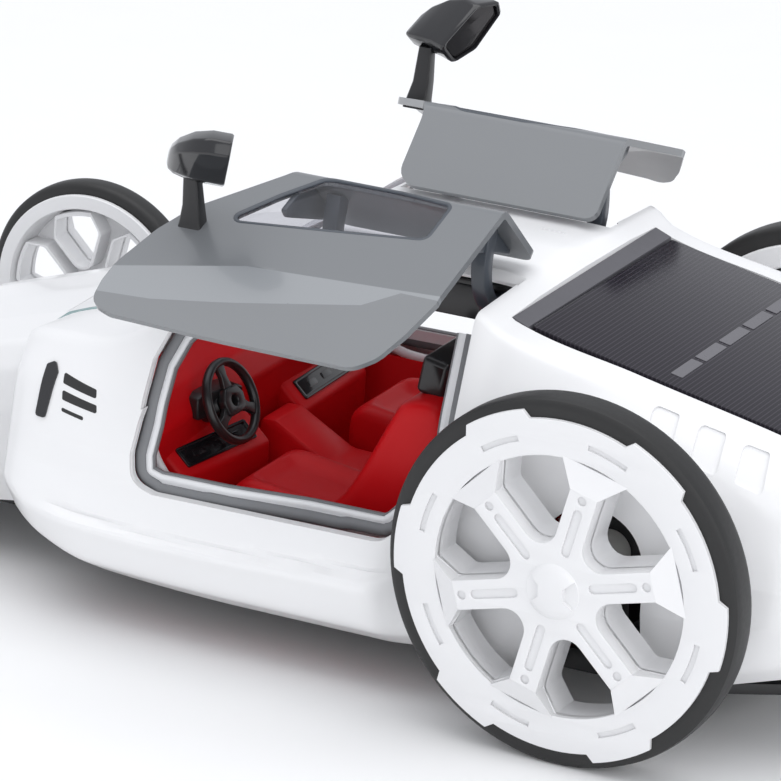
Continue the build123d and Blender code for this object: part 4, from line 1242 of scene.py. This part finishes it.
# ---- mirrors and hinges
MIRROR_ORIGIN = (64.8, 40.2, 84.2)
MIRROR_LONG, MIRROR_AWAY = (-0.46, 0.71, 0.54), (0.884, 0.432, 0.18)
MIRROR_RIM = [(6.9, 1.1), (6.4, -1.2), (-0.6, -3.9), (-5.4, -3.1), (-6.0, 1.6), (3.2, 3.6)]
# depth behind the mirror's face, scale and slide of each ring of the housing
HOUSING_RINGS = [(1.0, 0.86, 0.0), (0.0, 0.88, 0.0), (-0.05, 0.95, 0.0), (0.25, 1.0, 0.0), (0.9, 1.0, 0.1),
                 (3.2, 1.0, 0.3), (6.0, 0.90, 1.6), (8.2, 0.68, 3.4), (9.2, 0.46, 4.6), (9.5, 0.26, 5.0)]
# station, y, height, length and width of each ring of the stalk
STALK_RINGS = [(73, 37.2, 70.6, 4.4, 3.2), (72.9, 37.3, 71.6, 3.9, 2.9), (72.4, 38.0, 75, 3.1, 2.4),
               (72.2, 38.8, 80.9, 2.4, 2.1)]


def mirror_basis():
    away = Vector(MIRROR_AWAY).normalized()
    long = Vector(MIRROR_LONG)
    long = (long - away * long.dot(away)).normalized()
    return basis_for(at(*MIRROR_ORIGIN), long, away.cross(long), away)


def make_mirrors():
    basis = mirror_basis()
    outline = rounded(MIRROR_RIM, [0.6, 0.6, 1.6, 1.2, 1.2, 1.4], 3)
    points = []
    for depth, scale, slide in HOUSING_RINGS:
        points += [basis @ Vector((u * scale - slide, v * scale, depth)) for u, v in outline]
    housing = tidy(build("mirror_housing_moulding", points, capped(len(HOUSING_RINGS), len(outline))))
    both_sides(housing, "mirror_housing_moulding", GLOSS_BLACK, "black_plastic", "mirror_housing", degrees=45)
    film = plate("film", [[(u * 0.84, v * 0.84) for u, v in outline]], 0.45, 0.95, 0.06, basis)
    both_sides(film, "mirror_film", MIRROR_FILM, "mirror_glass", "mirror_glass")
    stalk = []
    for x, y, z, length, width in STALK_RINGS:
        points = [at(x + u, y + v, z) for u, v in rounded(rectangle(length, width), 0.5, 3)]
        stalk += points
    post = tidy(build("stalk", stalk, capped(len(STALK_RINGS), len(points))))
    both_sides(post, "mirror_stalk_moulding", BLACK_SMOOTH, "black_plastic", "mirror_stalk", degrees=24)


ARM_STATIONS = (30.2, 57)


ARM_BEND = [(HINGE_Y, HINGE_Z), (13.4, 56.2), (16.6, 54.9), (20.6, 55.4), (24.2, 58.4), (27.2, 63.4)]
ARM_HALF = 1.3
GUSSET_STATIONS = ((29.2, 30.3), (60.6, 61.6))


def arm_outline():
    """A bent plate seen along the hinge, drawn as two edges about its middle line."""
    middle = smooth_line(ARM_BEND, 5)
    left, right = [], []
    for k, ((y, z), direction) in enumerate(directed(middle)):
        half = 1.7 - 0.5 * math.sin(math.pi * k / (len(middle) - 1))
        left.append((y - direction.y * half, z + direction.x * half))
        right.append((y + direction.y * half, z - direction.x * half))
    return left + right[::-1]


def make_hinges():
    """Hinge rails under the roof, and on each door two bent arms and two gussets."""
    rails = [lengthwise([(-14.6, 62.3), (14.6, 62.3), (14.6, 61.2), (-14.6, 61.2)], 27.8, 60.5, "rail")]
    for first, last in ((27.8, 28.4), (32, 44.5), (54.4, 55.2), (58.8, 60.5)):
        for sign in (1, -1):
            corners = [(sign * 9.5, 61.4), (sign * 14.8, 61.4), (sign * 14.8, 55.8), (sign * 9.5, 55.8)]
            rails.append(lengthwise(corners, first, last, "rail"))
    frame_piece = join("hinge_frame_rails", *rails)
    edged(frame_piece, 0.25, 0.6)
    settle(frame_piece, BLACK_SMOOTH, frame_body("hinge_frame"), "black_plastic", "hinge_frame")
    arms = []
    for station in ARM_STATIONS:
        for outline in (arm_outline(), arc(2.3, 0, 345, 23, (HINGE_Y, HINGE_Z))):
            arms.append(lengthwise(outline, station - ARM_HALF, station + ARM_HALF, "arm"))
    arms = join("arms", *arms)
    edged(arms, 0.25)
    arms.data.transform(OPENED)
    both_sides(arms, "hinge_arms_bent", HINGE_GREY, "hinge_grey", "hinge_arms")
    for number, (first, last) in enumerate(GUSSET_STATIONS):
        corners = rounded([(17.0, 63.75), (31.1, 63.1), (34.2, 55.4), (32.4, 55.2)], 0.4, 3)
        gusset = lengthwise(corners, first, last, "gusset")
        edged(gusset, 0.2)
        gusset.data.transform(OPENED)
        both_sides(gusset, f"hinge_gusset_{number}", HINGE_GREY, "hinge_grey")


# ---- cabin
SEAT_Y = 19.8
SEAT_SIDE = [(70.6, 11.3), (70.9, 15), (71.0, 21.6), (69.9, 24.9), (66.8, 26.0), (60, 25.2), (54.6, 24.6),
             (51.2, 26.0), (48.4, 29.6), (45.2, 35.2), (41.6, 42.0), (39.8, 44.8), (37, 45.9), (33.9, 45.6),
             (32.0, 43.2), (31.6, 38), (31.6, 11.3)]
SEAT_ACROSS = [(-9.5, 2.4, 2.4), (-9.35, 1.2, 1.2), (-8.9, 0.45, 0.45), (-8.1, 0, 0.1), (-7.0, 0.1, 0.0),
               (-6.1, 0.75, 0.0), (-5.2, 1.35, 0.0), (-3.5, 1.5, 0.0), (0, 1.45, 0.0)]


SEAT_FOOT = 11.2


def make_seat():
    """A moulded seat: the pan between its bolsters is sunk, and every edge is rolled over."""
    side = smooth_line(SEAT_SIDE, 4)
    across = SEAT_ACROSS + [(-y, a, b) for y, a, b in reversed(SEAT_ACROSS[:-1])]
    points = []
    for (x, z), direction in directed(side):
        inward = Vector((-direction.y, direction.x))
        pan = clamped((68.5 - x) / 2) * clamped((x - 39.5) / 3) * (1 if z > 21 else 0)
        for y, sunk, plain in across:
            depth = plain + (sunk - plain) * pan
            points.append(at(x + inward.x * depth, SEAT_Y + y, max(z + inward.y * depth, SEAT_FOOT)))
    width = len(across)
    faces = grid_faces(len(side), width)
    rim = [i * width for i in range(len(side))]
    foot = [*range(width), *range(len(points) - 1, len(points) - width - 1, -1)]
    faces += [tuple(rim), tuple(i + width - 1 for i in rim), tuple(foot)]
    seat = tidy(build("seat_cushion", points, faces))
    both_sides(seat, "seat_cushion", RED, "red_plastic", "seat", body="seat_left", degrees=40)


DASH_SIDE = [(88.5, 11.2), (82, 11.2), (81, 27), (79.6, 34), (81.5, 39), (86.5, 42.6), (88.5, 41.6)]
# where each pod's lower rear edge runs: its station at two distances from the centre plane
PODS = [((77.4, 31.8), (74.2, 9.0)), ((76.2, -5.2), (76.8, -28.6))]
POD_LIP, POD_RUN, POD_RISE = 25.4, 5.2, 5.0
STEERING_RAKE = math.radians(24)
STEERING_AXIS = Vector((-math.cos(STEERING_RAKE), 0, math.sin(STEERING_RAKE)))
STEERING_CENTRE = (76.0, 20, 35.2)
COLUMN_BOX = [(-5.2, -2.1), (5.2, -2.1), (5.2, 1.5), (3.8, 2.1), (-3.8, 2.1), (-5.2, 1.5)]


def display_strip(outer, inner):
    """A framed strip with three plain keys, on the slope of a pod."""
    along_pod = Vector((inner[0] - outer[0], inner[1] - outer[1], 0)).normalized()
    slope = Vector((POD_RUN, 0, POD_RISE)).normalized()
    normal = along_pod.cross(slope).normalized()
    if normal.z < 0:
        normal = -normal
    middle = (Vector((*outer, POD_LIP)) + Vector((*inner, POD_LIP))) / 2 + slope * 3.3
    basis = basis_for(at(*middle), along_pod, slope, normal)
    frame_line = rounded(rectangle(18, 3.8), 0.4, 3)
    glass_line = rounded(rectangle(16.8, 2.8), 0.3, 3)
    pieces = [plate("strip_frame", [frame_line, glass_line], -0.2, 0.35, 0.12, basis),
              plate("strip_glass", [glass_line], -0.2, 0.12, 0.03, basis)]
    for k in range(3):
        key = rounded(rectangle(3, 1.2, (5 * k - 4.5, 0)), 0.3, 2)
        pieces.append(plate("strip_key", [key], 0.1, 0.22, 0.04, basis))
    return pieces


def make_dashboard():
    """A full-width dash with a raked pod and display strip before each seat."""
    body = frame_body("dashboard")
    parts = [upright(rounded(DASH_SIDE, [0, 0, 2, 3, 3, 1.5, 0], 5), -36, 36, "dash")]
    strips = []
    for ends in PODS:
        sides = []
        for x, y in ends:
            side = [(x + 0.8, 11.2), (x, POD_LIP), (x + POD_RUN, POD_LIP + POD_RISE),
                    (x + 8, POD_LIP + POD_RISE), (x + 8, 11.2)]
            sides.append([(u, y, v) for u, v in side])
        pod = prism("pod", *sides)
        edged(pod, 0.8, 0.4, 3)
        parts.append(pod)
        strips += display_strip(*ends)
    settle(join("dashboard_moulding", *parts), RED, body, "red_plastic", "dashboard")
    settle(join("display_strip_set", *strips), GLOSS_BLACK, body, "black_plastic", "display_strips")


def make_steering_column():
    skewed = Vector((-0.26, -0.966, 0)).normalized()
    basis = basis_for(at(79.4, 20, 35.2), skewed, Vector((0, 0, 1)), skewed.cross(Vector((0, 0, 1))))
    box = plate("column_box", [rounded(COLUMN_BOX, 0.6, 3)], -2.2, 2.2, 0.4, basis)
    basis = basis_for(at(*STEERING_CENTRE), Vector((0, 1, 0)), STEERING_AXIS.cross(Vector((0, 1, 0))),
                      STEERING_AXIS)
    tube = lathe("column", [(2.3, -5), (2.3, -1.6), (1.9, -1.0), (0.95, -0.9), (0.95, -5)], basis, 40)
    settle(join("steering_column_housing", box, tube), BLACK_SMOOTH, frame_body("dashboard"),
           "black_plastic", "steering_column")


def make_steering_wheel():
    up = Vector((math.sin(STEERING_RAKE), 0, math.cos(STEERING_RAKE)))
    x, y, z = STEERING_CENTRE
    basis = basis_for(at(x, y - 0.7, z), Vector((0, 1, 0)), up, STEERING_AXIS)
    ring = [(basis @ Vector((6.55 * math.cos(a), 6.55 * math.sin(a), 0.0)), STEERING_AXIS)
            for a in (math.tau * k / 64 for k in range(64))]
    parts = [sweep("rim", ring, oval(1.45, 1.7, 12), closed=True)]
    hub = rounded([(-2.6, -2.2), (2.6, -2.2), (3.0, 0.6), (1.6, 2.3), (-1.6, 2.3), (-3.0, 0.6)], 0.8, 4)
    parts.append(plate("hub", [hub, arc(0.95, 0, 345, 23)], -0.6, 0.9, 0.25, basis))
    for degrees in (90, 210, 330):
        spoke = turned([(1.6, -1.3), (4.2, -0.75), (6.3, -1.1), (6.3, 1.1), (4.2, 0.75), (1.6, 1.3)], degrees)
        parts.append(plate("spoke", [spoke], -0.5, 0.5, 0.2, basis))
    settle(join("steering_wheel_moulding", *parts), BLACK_SMOOTH, frame_body("steering_wheel"),
           "black_plastic", "steering_wheel", degrees=40)


def make_cabin():
    for node, width in (("interior_tub", 0.6), ("centre_console", 0.7)):
        settle(softened(f"{node}_moulding", node, width), RED, frame_body(node), "red_plastic", node)
    for node in ("headrest_left", "headrest_right"):
        headrest = softened(f"{node}_moulding", node, 0.9, 3)
        settle(headrest, BLACK_SMOOTH, frame_body(node), "black_plastic", node)
    make_seat()
    make_dashboard()
    make_steering_column()
    make_steering_wheel()


# ---- solar deck
def deck_sheet(name, outline, low, high):
    """A prism over (station, y), between two heights over the slope of the deck."""
    near, far = ([(x, y, deck(x, rise)) for x, y in outline] for rise in (low, high))
    return prism(name, near, far)


def make_solar():
    body = frame_body("solar_tray")
    tray = softened("solar_tray_moulding", "solar_tray", 0.08)
    settle(tray, TRAY, body, "tray_grey", "solar_tray", degrees=20)
    corners = [(PANEL_FRONT - 0.25, 24.5), (PANEL_REAR + 0.1, 24.5), (PANEL_REAR + 0.1, -24.5),
               (PANEL_FRONT - 0.5, -24.5)]
    panel = deck_sheet("solar_panel_sheet", rounded(corners, 0.4, 3), -1.4, 0)
    edged(panel, 0.12, math.radians(40))
    settle(panel, SOLAR, body, "solar_cells", "solar_panel", degrees=30)
    tabs = []
    for k in range(-2, 3):
        tabs.append(deck_sheet("tab", rounded(rectangle(2, 7.5, (-4.4, 8.6 * k)), 0.2, 2), -0.02, 0.1))
    settle(join("cell_tab_strip", *tabs), CELL_TAB, body, "cell_tabs", "cell_tabs")


def make_chassis():
    for node, width in (("chassis_pan", 0.25), ("motor_cradle", 0.25)):
        settle(softened(f"{node}_moulding", node, width), BLACK, frame_body(node), "black_plastic", node)
    can = softened("motor_can_shell", "motor_can", 0.5)
    settle(can, STEEL, frame_body("motor_can"), "steel", "motor_can")


# ---- CAD nodes that keep their shape
NODE_PAINT = {
    "white_shell": WHITE, "smoke_glass": SMOKE, "grey_shell": GREY, "seal_grey": SEAL,
    "black_plastic": BLACK, "hinge_grey": HINGE_GREY, "mirror_glass": MIRROR_FILM, "red_plastic": RED,
    "steel": STEEL, "tray_grey": TRAY, "solar_cells": SOLAR, "cell_tabs": CELL_TAB, "nylon": NYLON,
    "white_rim": RIM_WHITE_DARKENED_FOR_SHADE, "tyre_black": RUBBER,
}


def paint_cad_nodes():
    for part in frame["record"]["subparts"]:
        paint(frame["nodes"][part["node"]], NODE_PAINT[part["material_slot"]])


place_camera()
light_studio()
paint_cad_nodes()
make_wheels()
make_doors()
shell_surface = make_body_shell()
make_nose()
make_windscreen()
make_markings(shell_surface)
make_openings(shell_surface)
make_mirrors()
make_hinges()
make_cabin()
make_solar()
make_chassis()
